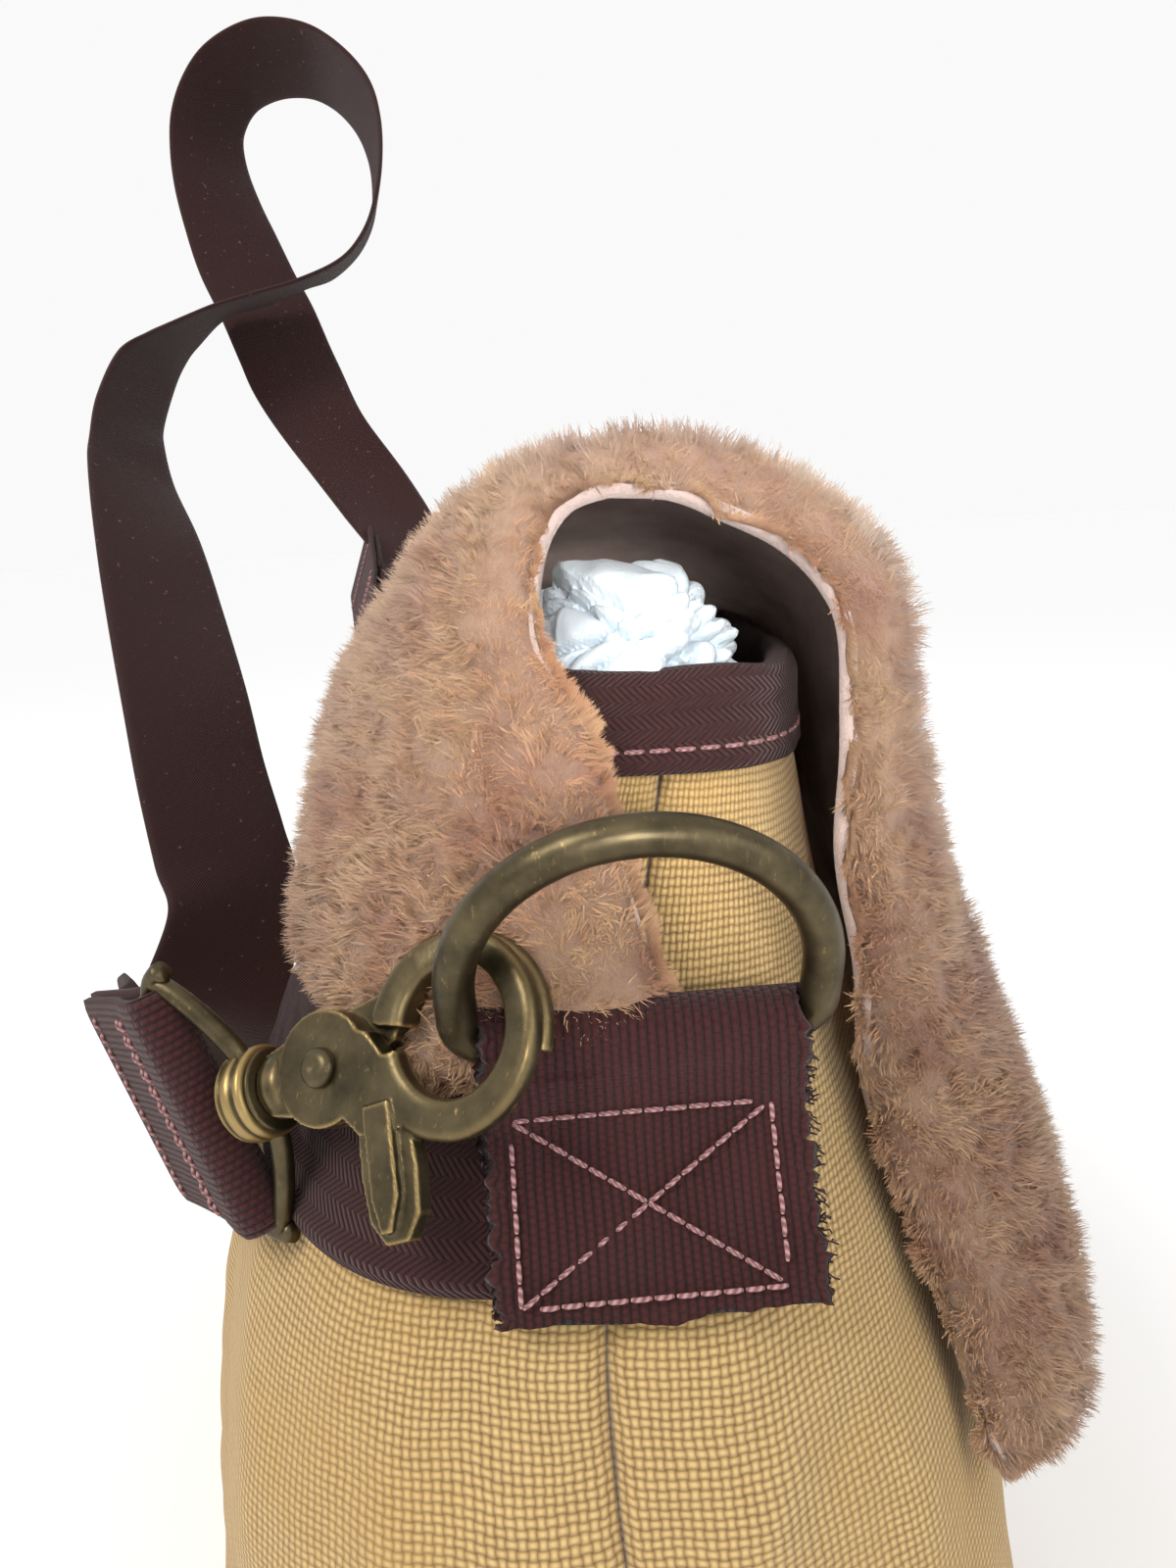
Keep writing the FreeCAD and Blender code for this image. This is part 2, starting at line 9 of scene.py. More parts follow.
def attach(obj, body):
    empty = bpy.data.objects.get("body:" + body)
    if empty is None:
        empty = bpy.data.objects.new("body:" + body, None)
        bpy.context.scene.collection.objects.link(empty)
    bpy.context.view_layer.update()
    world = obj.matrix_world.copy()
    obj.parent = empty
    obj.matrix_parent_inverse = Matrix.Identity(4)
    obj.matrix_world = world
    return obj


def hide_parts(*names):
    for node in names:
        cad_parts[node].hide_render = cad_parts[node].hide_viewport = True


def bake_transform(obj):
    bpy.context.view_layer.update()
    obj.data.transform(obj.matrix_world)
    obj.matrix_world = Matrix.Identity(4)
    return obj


# Camera: a phone's wide lens held close to one end of the bag, a little above the
# rim and looking along it, slightly down and slightly rolled.
yaw, pitch, roll = math.radians(3.6), math.radians(12), math.radians(3.2)
ahead = Vector((math.cos(pitch) * math.cos(yaw), -math.cos(pitch) * math.sin(yaw), -math.sin(pitch)))
level = ahead.cross(Vector((0, 0, 1))).normalized()
below = ahead.cross(level)
right = level * math.cos(roll) + below * math.sin(roll)
down = below * math.cos(roll) - level * math.sin(roll)
lens = bpy.data.cameras.new("camera")
lens.lens, lens.sensor_width, lens.clip_start = 27.05, 36, 0.01
camera = bpy.data.objects.new("camera", lens)
camera.matrix_world = Matrix.Translation((-0.369, 0.025, 0.326)) @ Matrix(
    [[right[i], -down[i], -ahead[i]] for i in range(3)]
).to_4x4()
bpy.context.scene.collection.objects.link(camera)
bpy.context.scene.camera = camera

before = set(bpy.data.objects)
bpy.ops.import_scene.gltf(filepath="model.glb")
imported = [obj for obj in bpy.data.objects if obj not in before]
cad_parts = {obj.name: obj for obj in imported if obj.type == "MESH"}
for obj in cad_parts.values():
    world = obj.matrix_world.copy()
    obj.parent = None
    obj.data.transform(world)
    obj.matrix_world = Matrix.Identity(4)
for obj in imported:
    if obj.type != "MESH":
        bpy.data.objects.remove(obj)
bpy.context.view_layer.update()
rng = np.random.default_rng(7)
MM = 0.001


# ------------------------------------------------------------ mesh helpers


def curve_through(points, count):
    """Evenly spaced rows on a smooth curve through the given rows of numbers."""
    p = np.asarray(points, float)
    q = np.vstack([2 * p[0] - p[1], p, 2 * p[-1] - p[-2]])
    out = []
    for i in range(1, len(q) - 2):
        t = np.linspace(0, 1, 24, endpoint=False)[:, None]
        a, b, c, d = q[i - 1 : i + 3]
        square, cube = 2 * a - 5 * b + 4 * c - d, 3 * b - a - 3 * c + d
        out.append(0.5 * (2 * b + (c - a) * t + square * t**2 + cube * t**3))
    dense = np.vstack(out + [p[-1:]])
    step = np.linalg.norm(np.diff(dense[:, : min(3, p.shape[1])], axis=0), axis=1)
    run = np.r_[0, np.cumsum(step)]
    at = np.linspace(0, run[-1], count)
    return np.column_stack([np.interp(at, run, dense[:, k]) for k in range(p.shape[1])])


def wobble(points, size, seed, octaves=2):
    """Smooth pseudo-random value between about -1 and 1 at each point; size is the grain in mm."""
    r = np.random.default_rng(seed)
    total = np.zeros(len(points))
    for octave in range(octaves):
        for _ in range(6):
            way = r.normal(size=3)
            way *= 2 * math.pi / (size / 2**octave) / np.linalg.norm(way) * r.uniform(0.6, 1.4)
            total += np.sin(points @ way + r.uniform(0, 6.3)) / 2**octave / 2.6
    return total


def piece(name, verts, faces, material, uv=None, smooth=True):
    """A mesh object from points in mm, with a UV pair per point in mm of cloth."""
    mesh = bpy.data.meshes.new(name)
    verts = np.asarray(verts, float).reshape(-1, 3) * MM
    mesh.from_pydata(verts.tolist(), [], [list(map(int, f)) for f in faces])
    if uv is not None:
        layer = mesh.uv_layers.new(name="UVMap")
        loops = np.empty(len(mesh.loops), np.int32)
        mesh.loops.foreach_get("vertex_index", loops)
        layer.data.foreach_set("uv", np.asarray(uv, np.float32).reshape(-1, 2)[loops].ravel())
    if smooth:
        mesh.polygons.foreach_set("use_smooth", [True] * len(mesh.polygons))
    if material:
        mesh.materials.append(material)
    mesh.update()
    obj = bpy.data.objects.new(name, mesh)
    bpy.context.scene.collection.objects.link(obj)
    return obj


def grid_faces(rows, cols, close_rows=False, close_cols=False, first=0):
    faces = []
    for i in range(rows if close_rows else rows - 1):
        for j in range(cols if close_cols else cols - 1):
            k, m = (i + 1) % rows, (j + 1) % cols
            this, following = first + i * cols, first + k * cols
            faces.append((this + j, following + j, following + m, this + m))
    return faces


def frames_along(path, across=None, slanted=False):
    """Run, side and up directions at each point of a path; across gives the side direction.
    A slanted side is kept as given, though it may not be square to the run."""
    run = np.gradient(path, axis=0)
    run /= np.linalg.norm(run, axis=1)[:, None]
    side = np.empty_like(run)
    if across is not None:
        side = across - run * np.sum(run * across, axis=1)[:, None] * (not slanted)
    else:
        last = np.cross(run[0], [0.31, 0.17, 0.93])
        for i in range(len(run)):
            last = last - run[i] * (last @ run[i])
            last = last / np.linalg.norm(last)
            side[i] = last
    side /= np.linalg.norm(side, axis=1)[:, None]
    up = np.cross(run, side)
    return run, side, up / np.linalg.norm(up, axis=1)[:, None]


def sweep(name, path, section, material, across=None, closed=False, scale=None, cap=True, slanted=False):
    """A section of (side, up) points in mm carried along a path."""
    path, section = np.asarray(path, float), np.asarray(section, float)
    run, side, up = frames_along(path, across, slanted)
    if closed and across is None:
        twist = math.atan2(side[-1] @ up[0], side[-1] @ side[0])
        turn = -twist * np.linspace(0, 1, len(path))
        side, up = (
            side * np.cos(turn)[:, None] + up * np.sin(turn)[:, None],
            up * np.cos(turn)[:, None] - side * np.sin(turn)[:, None],
        )
    grow = np.ones(len(path)) if scale is None else np.asarray(scale)
    verts = (
        path[:, None]
        + side[:, None] * (section[None, :, :1] * grow[:, None, None])
        + up[:, None] * (section[None, :, 1:] * grow[:, None, None])
    )
    length = np.r_[0, np.cumsum(np.linalg.norm(np.diff(path, axis=0), axis=1))]
    girth = np.r_[0, np.cumsum(np.linalg.norm(np.diff(section, axis=0), axis=1))]
    uv = np.stack(np.broadcast_arrays(girth[None, :], length[:, None]), axis=-1)
    faces = grid_faces(len(path), len(section), closed, True)
    if cap and not closed:
        n = len(section)
        faces += [tuple(range(n))[::-1], tuple(range((len(path) - 1) * n, len(path) * n))]
    return piece(name, verts, faces, material, uv)


def circle(radius, sides=20, squeeze=1.0):
    turn = np.linspace(0, 2 * math.pi, sides, endpoint=False)
    return np.column_stack([radius * np.cos(turn), radius * squeeze * np.sin(turn)])


def lathe(name, profile, place, material, sides=48):
    """A turned part: rows of (position along local X, radius)."""
    profile = np.asarray(profile, float)
    turn = np.linspace(0, 2 * math.pi, sides, endpoint=False)
    verts = np.stack(
        np.broadcast_arrays(
            profile[:, None, 0], profile[:, None, 1] * np.cos(turn), profile[:, None, 1] * np.sin(turn)
        ),
        axis=-1,
    )
    faces = grid_faces(len(profile), sides, False, True)
    faces += [tuple(range(sides)), tuple(range((len(profile) - 1) * sides, len(profile) * sides))[::-1]]
    return piece(name, moved(verts.reshape(-1, 3), place), faces, material)


def facing(origin, along, up):
    """Origin and axes of a local frame: X along one direction, Y near another."""
    x = np.asarray(along, float) / np.linalg.norm(along)
    z = np.cross(x, up)
    z /= np.linalg.norm(z)
    return np.asarray(origin, float), np.column_stack([x, np.cross(z, x), z])


def moved(points, place):
    origin, axes = place
    return np.asarray(points, float) @ axes.T + origin


def merged(name, objects, material=None):
    """Several objects joined into one."""
    mesh = bpy.data.meshes.new(name)
    work = bmesh.new()
    for obj in objects:
        work.from_mesh(obj.data)
    work.to_mesh(mesh)
    work.free()
    for polygon in mesh.polygons:
        polygon.use_smooth = True
    material = material or objects[0].data.materials[0]
    mesh.materials.append(material)
    for polygon in mesh.polygons:
        polygon.material_index = 0
    out = bpy.data.objects.new(name, mesh)
    bpy.context.scene.collection.objects.link(out)
    for obj in objects:
        bpy.data.objects.remove(obj)
    return out


def baked(obj, *modifiers):
    """The object with modifiers applied, given as (type, settings)."""
    for kind, settings in modifiers:
        modifier = obj.modifiers.new(kind.lower(), kind)
        for key, value in settings.items():
            setattr(modifier, key, value)
    bpy.context.view_layer.update()
    result = bpy.data.meshes.new_from_object(obj.evaluated_get(bpy.context.evaluated_depsgraph_get()))
    obj.modifiers.clear()
    obj.data = result
    for polygon in obj.data.polygons:
        polygon.use_smooth = True
    return obj


def cast(name, parts, material, voxel=0.35, rounds=4):
    """Overlapping shapes melted into one casting with soft edges."""
    obj = merged(name, parts, material)
    baked(
        obj,
        ("REMESH", {"mode": "VOXEL", "voxel_size": voxel * MM, "use_smooth_shade": True}),
        ("SMOOTH", {"factor": 0.5, "iterations": rounds}),
    )
    if not obj.data.materials:
        obj.data.materials.append(material)
    return obj


# -------------------------------------------------------- material helpers


class Value:
    """A shader number; ordinary arithmetic on it adds Math nodes."""

    def __init__(self, tree, socket):
        self.tree, self.socket = tree, socket

    def op(self, kind, *others):
        node = self.tree.nodes.new("ShaderNodeMath")
        node.operation = kind
        for target, source in zip(node.inputs, (self, *others)):
            if isinstance(source, Value):
                self.tree.links.new(source.socket, target)
            else:
                target.default_value = source
        return Value(self.tree, node.outputs[0])

    def __add__(self, other):
        return self.op("ADD", other)

    def __sub__(self, other):
        return self.op("SUBTRACT", other)

    def __mul__(self, other):
        return self.op("MULTIPLY", other)

    def __truediv__(self, other):
        return self.op("DIVIDE", other)

    def sin(self):
        return self.op("SINE")

    def abs(self):
        return self.op("ABSOLUTE")

    def sign(self):
        return self.op("SIGN")

    def max(self, other):
        return self.op("MAXIMUM", other)

    def power(self, other):
        return self.op("POWER", other)

    def ramp(self, low, high):
        node = self.tree.nodes.new("ShaderNodeMapRange")
        node.clamp = True
        self.tree.links.new(self.socket, node.inputs["Value"])
        node.inputs["From Min"].default_value, node.inputs["From Max"].default_value = low, high
        return Value(self.tree, node.outputs[0])


def linear(code):
    """Linear colour from an sRGB hex code."""
    parts = [int(code[i : i + 2], 16) / 255 for i in (1, 3, 5)]
    return [c / 12.92 if c <= 0.04045 else ((c + 0.055) / 1.055) ** 2.4 for c in parts] + [1]


class Shade:
    """A Principled material under construction."""

    def __init__(self, name):
        self.material = bpy.data.materials.new(name)
        self.material.use_nodes = True
        self.tree = self.material.node_tree
        self.surface = self.tree.nodes["Principled BSDF"]

    def add(self, kind, inputs=(), **settings):
        node = self.tree.nodes.new(kind)
        for key, value in settings.items():
            setattr(node, key, value)
        for key, value in dict(inputs).items():
            self.put(node.inputs[key], value)
        return node

    def put(self, target, value):
        if isinstance(value, Value):
            value = value.socket
        if isinstance(value, bpy.types.NodeSocket):
            self.tree.links.new(value, target)
        else:
            target.default_value = value

    def set(self, **inputs):
        for key, value in inputs.items():
            self.put(self.surface.inputs[key.replace("_", " ")], value)
        return self

    def uv(self):
        """Cloth coordinates in mm, across and along."""
        split = self.add("ShaderNodeSeparateXYZ", {0: self.add("ShaderNodeTexCoord").outputs["UV"]})
        return Value(self.tree, split.outputs[0]), Value(self.tree, split.outputs[1])

    def place(self):
        return self.add("ShaderNodeTexCoord").outputs["Object"]

    def noise(self, size, detail=3, rough=0.55, at=None, stretch=None):
        """Noise from 0 to 1 with a grain of the given size in mm."""
        at = at or self.place()
        if stretch:
            at = self.add("ShaderNodeVectorMath", {0: at, 1: stretch}, operation="MULTIPLY").outputs[0]
        scale = 1 / size if at.node.type == "COMBXYZ" else 1000 / size
        grain = {"Vector": at, "Scale": scale, "Detail": detail, "Roughness": rough}
        node = self.add("ShaderNodeTexNoise", grain)
        return Value(self.tree, node.outputs[0])

    def cloth_noise(self, size, stretch=(1, 1), detail=2):
        u, v = self.uv()
        at = self.add("ShaderNodeCombineXYZ", {0: u * stretch[0], 1: v * stretch[1]}).outputs[0]
        return self.noise(size, detail, at=at)

    def mix(self, share, first, second):
        node = self.add("ShaderNodeMix", data_type="RGBA")
        for target, value in zip((node.inputs[0], node.inputs[6], node.inputs[7]), (share, first, second)):
            self.put(target, linear(value) if isinstance(value, str) else value)
        return node.outputs[2]

    def bump(self, height, depth, strength=1.0):
        node = self.add("ShaderNodeBump", {"Height": height, "Distance": depth * MM, "Strength": strength})
        self.put(self.surface.inputs["Normal"], node.outputs[0])
        return self


def canvas_material():
    """Coarse plain-weave cotton duck: thick ochre threads, the gaps between them darkened as painted shade, a
    little soiled.
    """
    s = Shade("ochre cotton canvas")
    u, v = s.uv()
    pitch = 1.55
    bend = s.cloth_noise(14) * 1.6
    su = ((u + bend) * (math.pi / pitch)).sin()
    sv = ((v + s.cloth_noise(17) * 1.4) * (math.pi / pitch * 1.12)).sin()
    warp = su.abs().power(0.75) * (su.sign() * sv * 0.5 + 0.5)
    weft = sv.abs().power(0.75) * (sv.sign() * su * -0.5 + 0.5)
    height = warp.max(weft)
    fibre = s.cloth_noise(0.5, (1, 1), 3)
    thread = s.cloth_noise(2.2, (0.25, 1), 2) * 0.5 + s.cloth_noise(2.2, (1, 0.25), 2) * 0.5
    # lit is painted shade and highlight: the weave height, as in the bump, darkens the gaps and lightens the
    # thread crowns; thread and fibre noise add real tone.
    lit = height.ramp(0.15, 0.95) * 0.72 + thread * 0.3 + fibre * 0.12 - 0.1
    cloth = s.mix(lit, "#6A4B22", "#D8B87F")
    soiled = s.mix((s.noise(45, 4) - 0.5).ramp(-0.02, 0.22) * 0.32, cloth, "#AD8848")
    s.set(Base_Color=soiled, Roughness=0.88, Specular_IOR_Level=0.2, Sheen_Weight=0.15, Sheen_Roughness=0.5)
    s.bump(height * 0.85 + fibre * 0.25, 0.55)
    return s.material


def ribbed_material(name, dark, light, rib, along, worn):
    """Cotton webbing with ribs along its length, each crossed by slanted threads; dark is the painted shade
    between the ribs, light the painted highlight on them and the tone worn patches fade to.
    """
    s = Shade(name)
    u, v = s.uv()
    ribs = ((u + s.cloth_noise(9) * 0.5) * (math.pi / rib)).sin().abs()
    cross = ((v + ((u / rib).op("FLOOR") * (along * 0.5))) * (math.pi / along)).sin().abs()
    height = ribs.power(0.7) * (cross.power(0.6) * 0.45 + 0.55)
    fuzz = s.cloth_noise(0.45, (1, 1), 3)
    # lit is painted shade in the grooves and painted highlight on the rib crowns, from the same height as the
    # bump; fuzz adds real tone.
    lit = height.ramp(0.2, 0.95) * 0.6 + fuzz * 0.45 - 0.12
    cloth = s.mix(lit, dark, light)
    faded = s.mix(s.noise(16, 4).ramp(0.52, 0.75) * worn, cloth, light)
    s.set(Base_Color=faded, Roughness=0.92, Specular_IOR_Level=0.15, Sheen_Weight=0.12, Sheen_Roughness=0.5)
    s.bump(height + fuzz * 0.3, 0.45)
    return s.material


def herringbone_material():
    """Maroon twill tape, its diagonals turning back every few millimetres."""
    s = Shade("maroon herringbone tape")
    u, v = s.uv()
    stripe = 5.2
    fold = ((u / stripe).op("FRACT") - 0.5).abs() * stripe
    ribs = ((v + fold * 1.15) * (math.pi / 1.25)).sin().abs()
    fuzz = s.cloth_noise(0.5, (1, 1), 3)
    # lit is painted shade in the grooves and painted highlight on the diagonal ribs, from the same height as
    # the bump; fuzz adds real tone.
    lit = ribs.ramp(0.15, 0.95) * 0.6 + fuzz * 0.45 - 0.1
    s.set(Base_Color=s.mix(lit, "#1E0C0B", "#462625"), Roughness=0.9, Specular_IOR_Level=0.15,
          Sheen_Weight=0.1, Sheen_Roughness=0.5)
    s.bump(ribs + fuzz * 0.3, 0.45)
    return s.material


def strap_material():
    """Brown-maroon webbing in a fine steep twill, with a few pale specks of wear."""
    s = Shade("brown maroon twill webbing")
    u, v = s.uv()
    twill = ((u * 0.9 + v) * (math.pi / 1.15)).sin().abs()
    edge = ((u - 25).abs() - 22).ramp(0, 2)
    fuzz = s.cloth_noise(0.5, (1, 1), 3)
    # lit is painted shade in the twill grooves from the same height as the bump, plus fuzz; edge makes the
    # long edges and the strap's second face a little paler.
    lit = twill.ramp(0.1, 0.95) * 0.4 + fuzz * 0.35 + edge * 0.1 - 0.05
    cloth = s.mix(lit, "#20100F", "#432725")
    specks = s.mix(s.noise(2.6, 1).ramp(0.72, 0.78) * 0.5, cloth, "#8A6458")
    s.set(Base_Color=specks, Roughness=0.85, Specular_IOR_Level=0.2, Sheen_Weight=0.1, Sheen_Roughness=0.4)
    s.bump(twill + fuzz * 0.25, 0.3)
    return s.material


def brass_material(name="antique brass", bright=1.0):
    """Dark greenish patina, rubbed through to yellow metal in scratches and on high edges."""
    s = Shade(name)
    edges = Value(s.tree, s.add("ShaderNodeNewGeometry").outputs["Pointiness"]).ramp(0.505, 0.56)
    patches = s.noise(7, 5, 0.65).ramp(0.5, 0.72)
    scratch = s.noise(1.1, 6, 0.7, stretch=(1, 1, 0.25)).ramp(0.6, 0.72)
    worn = (edges * 0.75 + patches * scratch * 0.9 + scratch * 0.22) * bright
    grime = s.mix(s.noise(9, 4, 0.6).ramp(0.3, 0.7), "#3C3527", "#635840")
    metal = s.mix(worn.op("MINIMUM", 1.0), grime, "#B59A64")
    rough = s.noise(2.5, 4, 0.6) * 0.2 + 0.28
    s.set(Base_Color=metal, Metallic=0.92, Roughness=rough)
    s.bump(s.noise(1.4, 5, 0.65) * 0.4 + s.noise(6, 3), 0.1)
    return s.material


def thread_material():
    """Faded rose cotton sewing thread, two plies twisted."""
    s = Shade("faded rose thread")
    u, v = s.uv()
    ply = ((u * 0.9 + v * 1.6) * 3.2).sin()
    # The colour follows the ply twist as the bump does: painted shade in the grooves between the plies.
    s.set(Base_Color=s.mix(ply.ramp(-1, 1), "#7A5052", "#B38C8B"), Roughness=0.75, Specular_IOR_Level=0.25)
    s.bump(ply, 0.08)
    return s.material


def suede_material():
    """The flesh side of the hide: pinkish grey nap with pale cut edges."""
    s = Shade("sheepskin suede")
    nap = s.noise(0.6, 5, 0.75)
    blotch = s.noise(9, 4)
    edge = Value(s.tree, s.add("ShaderNodeAttribute", attribute_name="cut").outputs["Fac"])
    inside = s.mix(blotch.ramp(0.3, 0.7) * 0.5 + nap * 0.4, "#B8968A", "#EAD4CA")
    pale = s.mix(nap, "#BFA198", "#E4D2CA")
    s.set(Base_Color=s.mix(edge, inside, pale), Roughness=0.95, Specular_IOR_Level=0.1,
          Sheen_Weight=0.25, Sheen_Roughness=0.5)
    s.bump(nap + blotch * 0.4, 0.5)
    return s.material


def fleece_colour(s, height):
    """Rose-tan wool, peach at the tip, with rubbed rose patches; height darkens and warms it towards the root
    as painted shade deep in the pile.
    """
    patches = s.noise(17, 3, 0.55).ramp(0.35, 0.68)
    locks = s.noise(3.2, 3, 0.6)
    tip = s.mix(patches, "#DDB88E", "#B58468")
    root = s.mix(locks, "#7C4D38", "#A07054")
    # Painted shade: the lower in the pile, the darker and warmer the wool.
    return s.mix(height * 0.82 + locks * 0.3 - 0.1, root, tip)


def fleece_material():
    """The dense underlayer of the pile between the visible locks."""
    s = Shade("wool pile underlayer")
    curl = s.noise(1.1, 6, 0.75)
    clump = s.noise(4.5, 4, 0.6)
    # Painted shade: the colour darkens with the same curl and clump noise that sinks the bump, in the pile's
    # hollows.
    s.set(Base_Color=fleece_colour(s, curl * 0.55 + clump * 0.3), Roughness=1, Specular_IOR_Level=0.05,
          Sheen_Weight=0.35, Sheen_Roughness=0.6)
    s.bump(curl + clump * 1.2, 1.6)
    return s.material


def wool_material():
    """Single locks of the sheared pile."""
    s = Shade("wool pile locks")
    along = Value(s.tree, s.add("ShaderNodeAttribute", attribute_name="along").outputs["Fac"])
    tint = Value(s.tree, s.add("ShaderNodeAttribute", attribute_name="tint").outputs["Fac"])
    shape = s.add("ShaderNodeNewGeometry")
    turned = Value(s.tree, shape.outputs["Backfacing"]) * -2.0 + 1.0
    normal = s.add("ShaderNodeVectorMath", {0: shape.outputs["Normal"]}, operation="SCALE")
    s.put(normal.inputs["Scale"], turned)
    # Painted shade: along darkens each lock towards its root, deep in the pile.
    s.set(Base_Color=fleece_colour(s, along * 0.75 + tint * 0.3), Roughness=0.9, Specular_IOR_Level=0.12,
          Sheen_Weight=0.3, Sheen_Roughness=0.6, Normal=normal.outputs[0])
    return s.material


def tissue_material():
    """Thin white wrapping tissue, slightly blue and let through by the light."""
    s = Shade("white tissue paper")
    s.set(Base_Color=s.mix(s.noise(9, 3), "#BCCAD4", "#E6EEF2"), Roughness=0.8, Specular_IOR_Level=0.15,
          Subsurface_Weight=0.15, Subsurface_Radius=(0.004, 0.004, 0.004))
    s.bump(s.noise(3.5, 5, 0.6), 0.5)
    return s.material


CANVAS, TAPE, STRAP_CLOTH = canvas_material(), herringbone_material(), strap_material()
WEBBING = ribbed_material("maroon ribbed webbing", "#1E0C0B", "#4A2626", 1.45, 1.3, 0.25)
BRASS, THREAD, SUEDE = brass_material(), thread_material(), suede_material()
RIVET_METAL = brass_material("rivet metal", 0.4)
FLEECE, WOOL, TISSUE = fleece_material(), wool_material(), tissue_material()


def stitches(name, points, normals, length=3.1, gap=0.6, radius=0.42, lift=0.32):
    """A row of separate thread stitches along a line on a surface, each dipping in at both ends."""
    points, normals = np.asarray(points, float), np.asarray(normals, float)
    run = np.r_[0, np.cumsum(np.linalg.norm(np.diff(points, axis=0), axis=1))]
    made, at, index = [], 0.4, 0
    random = np.random.default_rng(len(points) * 31 + int(run[-1]))
    while at + length < run[-1]:
        size = length * random.uniform(0.9, 1.06)
        where = np.linspace(at, at + size, 7)
        path = np.column_stack([np.interp(where, run, points[:, k]) for k in range(3)])
        out = np.column_stack([np.interp(where, run, normals[:, k]) for k in range(3)])
        rise = np.array([-0.55, 0.15, 0.85, 1, 0.85, 0.15, -0.55]) * lift
        path += out * rise[:, None]
        path += np.cross(np.gradient(path, axis=0), out) * random.uniform(-0.06, 0.06)
        taper = [0.7, 1, 1, 1.05, 1, 1, 0.7]
        made.append(sweep(f"{name}_{index}", path, circle(radius, 7), THREAD, scale=taper))
        at, index = at + size + gap, index + 1
    return merged(name, made, THREAD)


# ------------------------------------------------------------- canvas body
# Front and back panels of heavy ochre cotton duck, sewn together down the middle of
# each end and to a boxed base. The bag is stuffed, so the walls bulge.

BODY = curve_through(
    [
        (0, 214, -62, 80), (14, 225, -74, 95), (80, 231, -82, 108), (140, 227, -79, 108),
        (200, 209.5, -60, 94), (245, 187.5, -45, 63), (285, 169.5, -37, 35), (300, 165, -36, 27),
    ],
    90,
)
SEAM_Y = 5.5


def body_surface(turn, z, grow=0.0):
    """Points on the stuffed body: turn runs round it from the far end by the back."""
    half, front, back = (np.interp(z, BODY[:, 0], BODY[:, k]) for k in (1, 2, 3))
    power = np.interp(z, [0, 150, 300], [2.7, 2.8, 3.6])
    c, s = np.cos(turn), np.sin(turn)
    x = np.sign(c) * np.abs(c) ** (2 / power) * (half + grow)
    y = (front + back) / 2 + np.sign(s) * np.abs(s) ** (2 / power) * ((back - front) / 2 + grow)
    return np.stack(np.broadcast_arrays(x, y, z * np.ones_like(x)), axis=-1)


def even_turns(start, end, count, z=200.0):
    """Turns between two angles, evenly spaced along the cloth."""
    dense = np.linspace(start, end, 4000)
    p = body_surface(dense, np.full(4000, z))
    run = np.r_[0, np.cumsum(np.linalg.norm(np.diff(p, axis=0), axis=1))]
    return np.interp(np.linspace(0, run[-1], count), run, dense), np.linspace(0, run[-1], count)


def panel(name, start, end):
    turns, across = even_turns(start, end, 420)
    heights = np.linspace(0, 300, 200)
    t, z = np.meshgrid(turns, heights, indexing="ij")
    p = body_surface(t, z)
    flat = p.reshape(-1, 3)
    fade = (np.clip(z / 60, 0, 1) * np.clip((285 - z) / 60, 0, 1)).ravel()
    tall = flat * [1, 1, 0.35]
    out = flat - [0, SEAM_Y, 150]
    out[:, 2] = 0
    out /= np.linalg.norm(out, axis=1)[:, None]
    swell = wobble(tall, 95, 3) * 2.4 + wobble(tall, 38, 4) * 1.0 + wobble(flat, 22, 5) * 0.35
    # The seam pulls the cloth in along the end's middle line.
    off = np.minimum(across, across[-1] - across)[:, None] * np.ones_like(z)
    pull = (-1.9 * np.exp(-((off / 1.6) ** 2)) - 1.2 * np.exp(-((off / 9) ** 2))).ravel()
    flat = flat + out * (swell * fade + pull * np.clip((300 - z.ravel()) / 12, 0, 1))[:, None]
    uv = np.stack(np.broadcast_arrays(across[:, None] - across[-1] / 2, z), axis=-1)
    obj = piece(name, flat, grid_faces(len(turns), len(heights)), CANVAS, uv)
    baked(obj, ("SOLIDIFY", {"thickness": 2.2 * MM, "offset": -1.0}))
    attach(obj, "bag")
    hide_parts(name)
    return obj


panel("back_panel", 0.0, math.pi)
panel("front_panel", math.pi, 2 * math.pi)

base_turns, _ = even_turns(0, 2 * math.pi, 240, 1.0)
base_rings = []
for share in np.linspace(1, 0.02, 26):
    ring = body_surface(base_turns[:-1], np.zeros(239))
    middle = ring.mean(axis=0)
    base_rings.append(middle + (ring - middle) * share + [0, 0, 0.3])
base_points = np.array(base_rings)
base_faces = grid_faces(26, 239, False, True)[::-1]
base = piece("bottom_panel", base_points, base_faces, CANVAS, base_points[..., :2])
baked(base, ("SOLIDIFY", {"thickness": 2.2 * MM, "offset": 0.0}))
base.data.transform(Matrix.Translation((0, 0, 0.0015)))
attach(base, "bag")
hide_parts("bottom_panel")


# -------------------------------------------- binding and band of twill tape
# Maroon herringbone tape folded over the raw edge of the mouth and sewn through with
# one row of rose thread; a wider tape is sewn flat across the back panel.

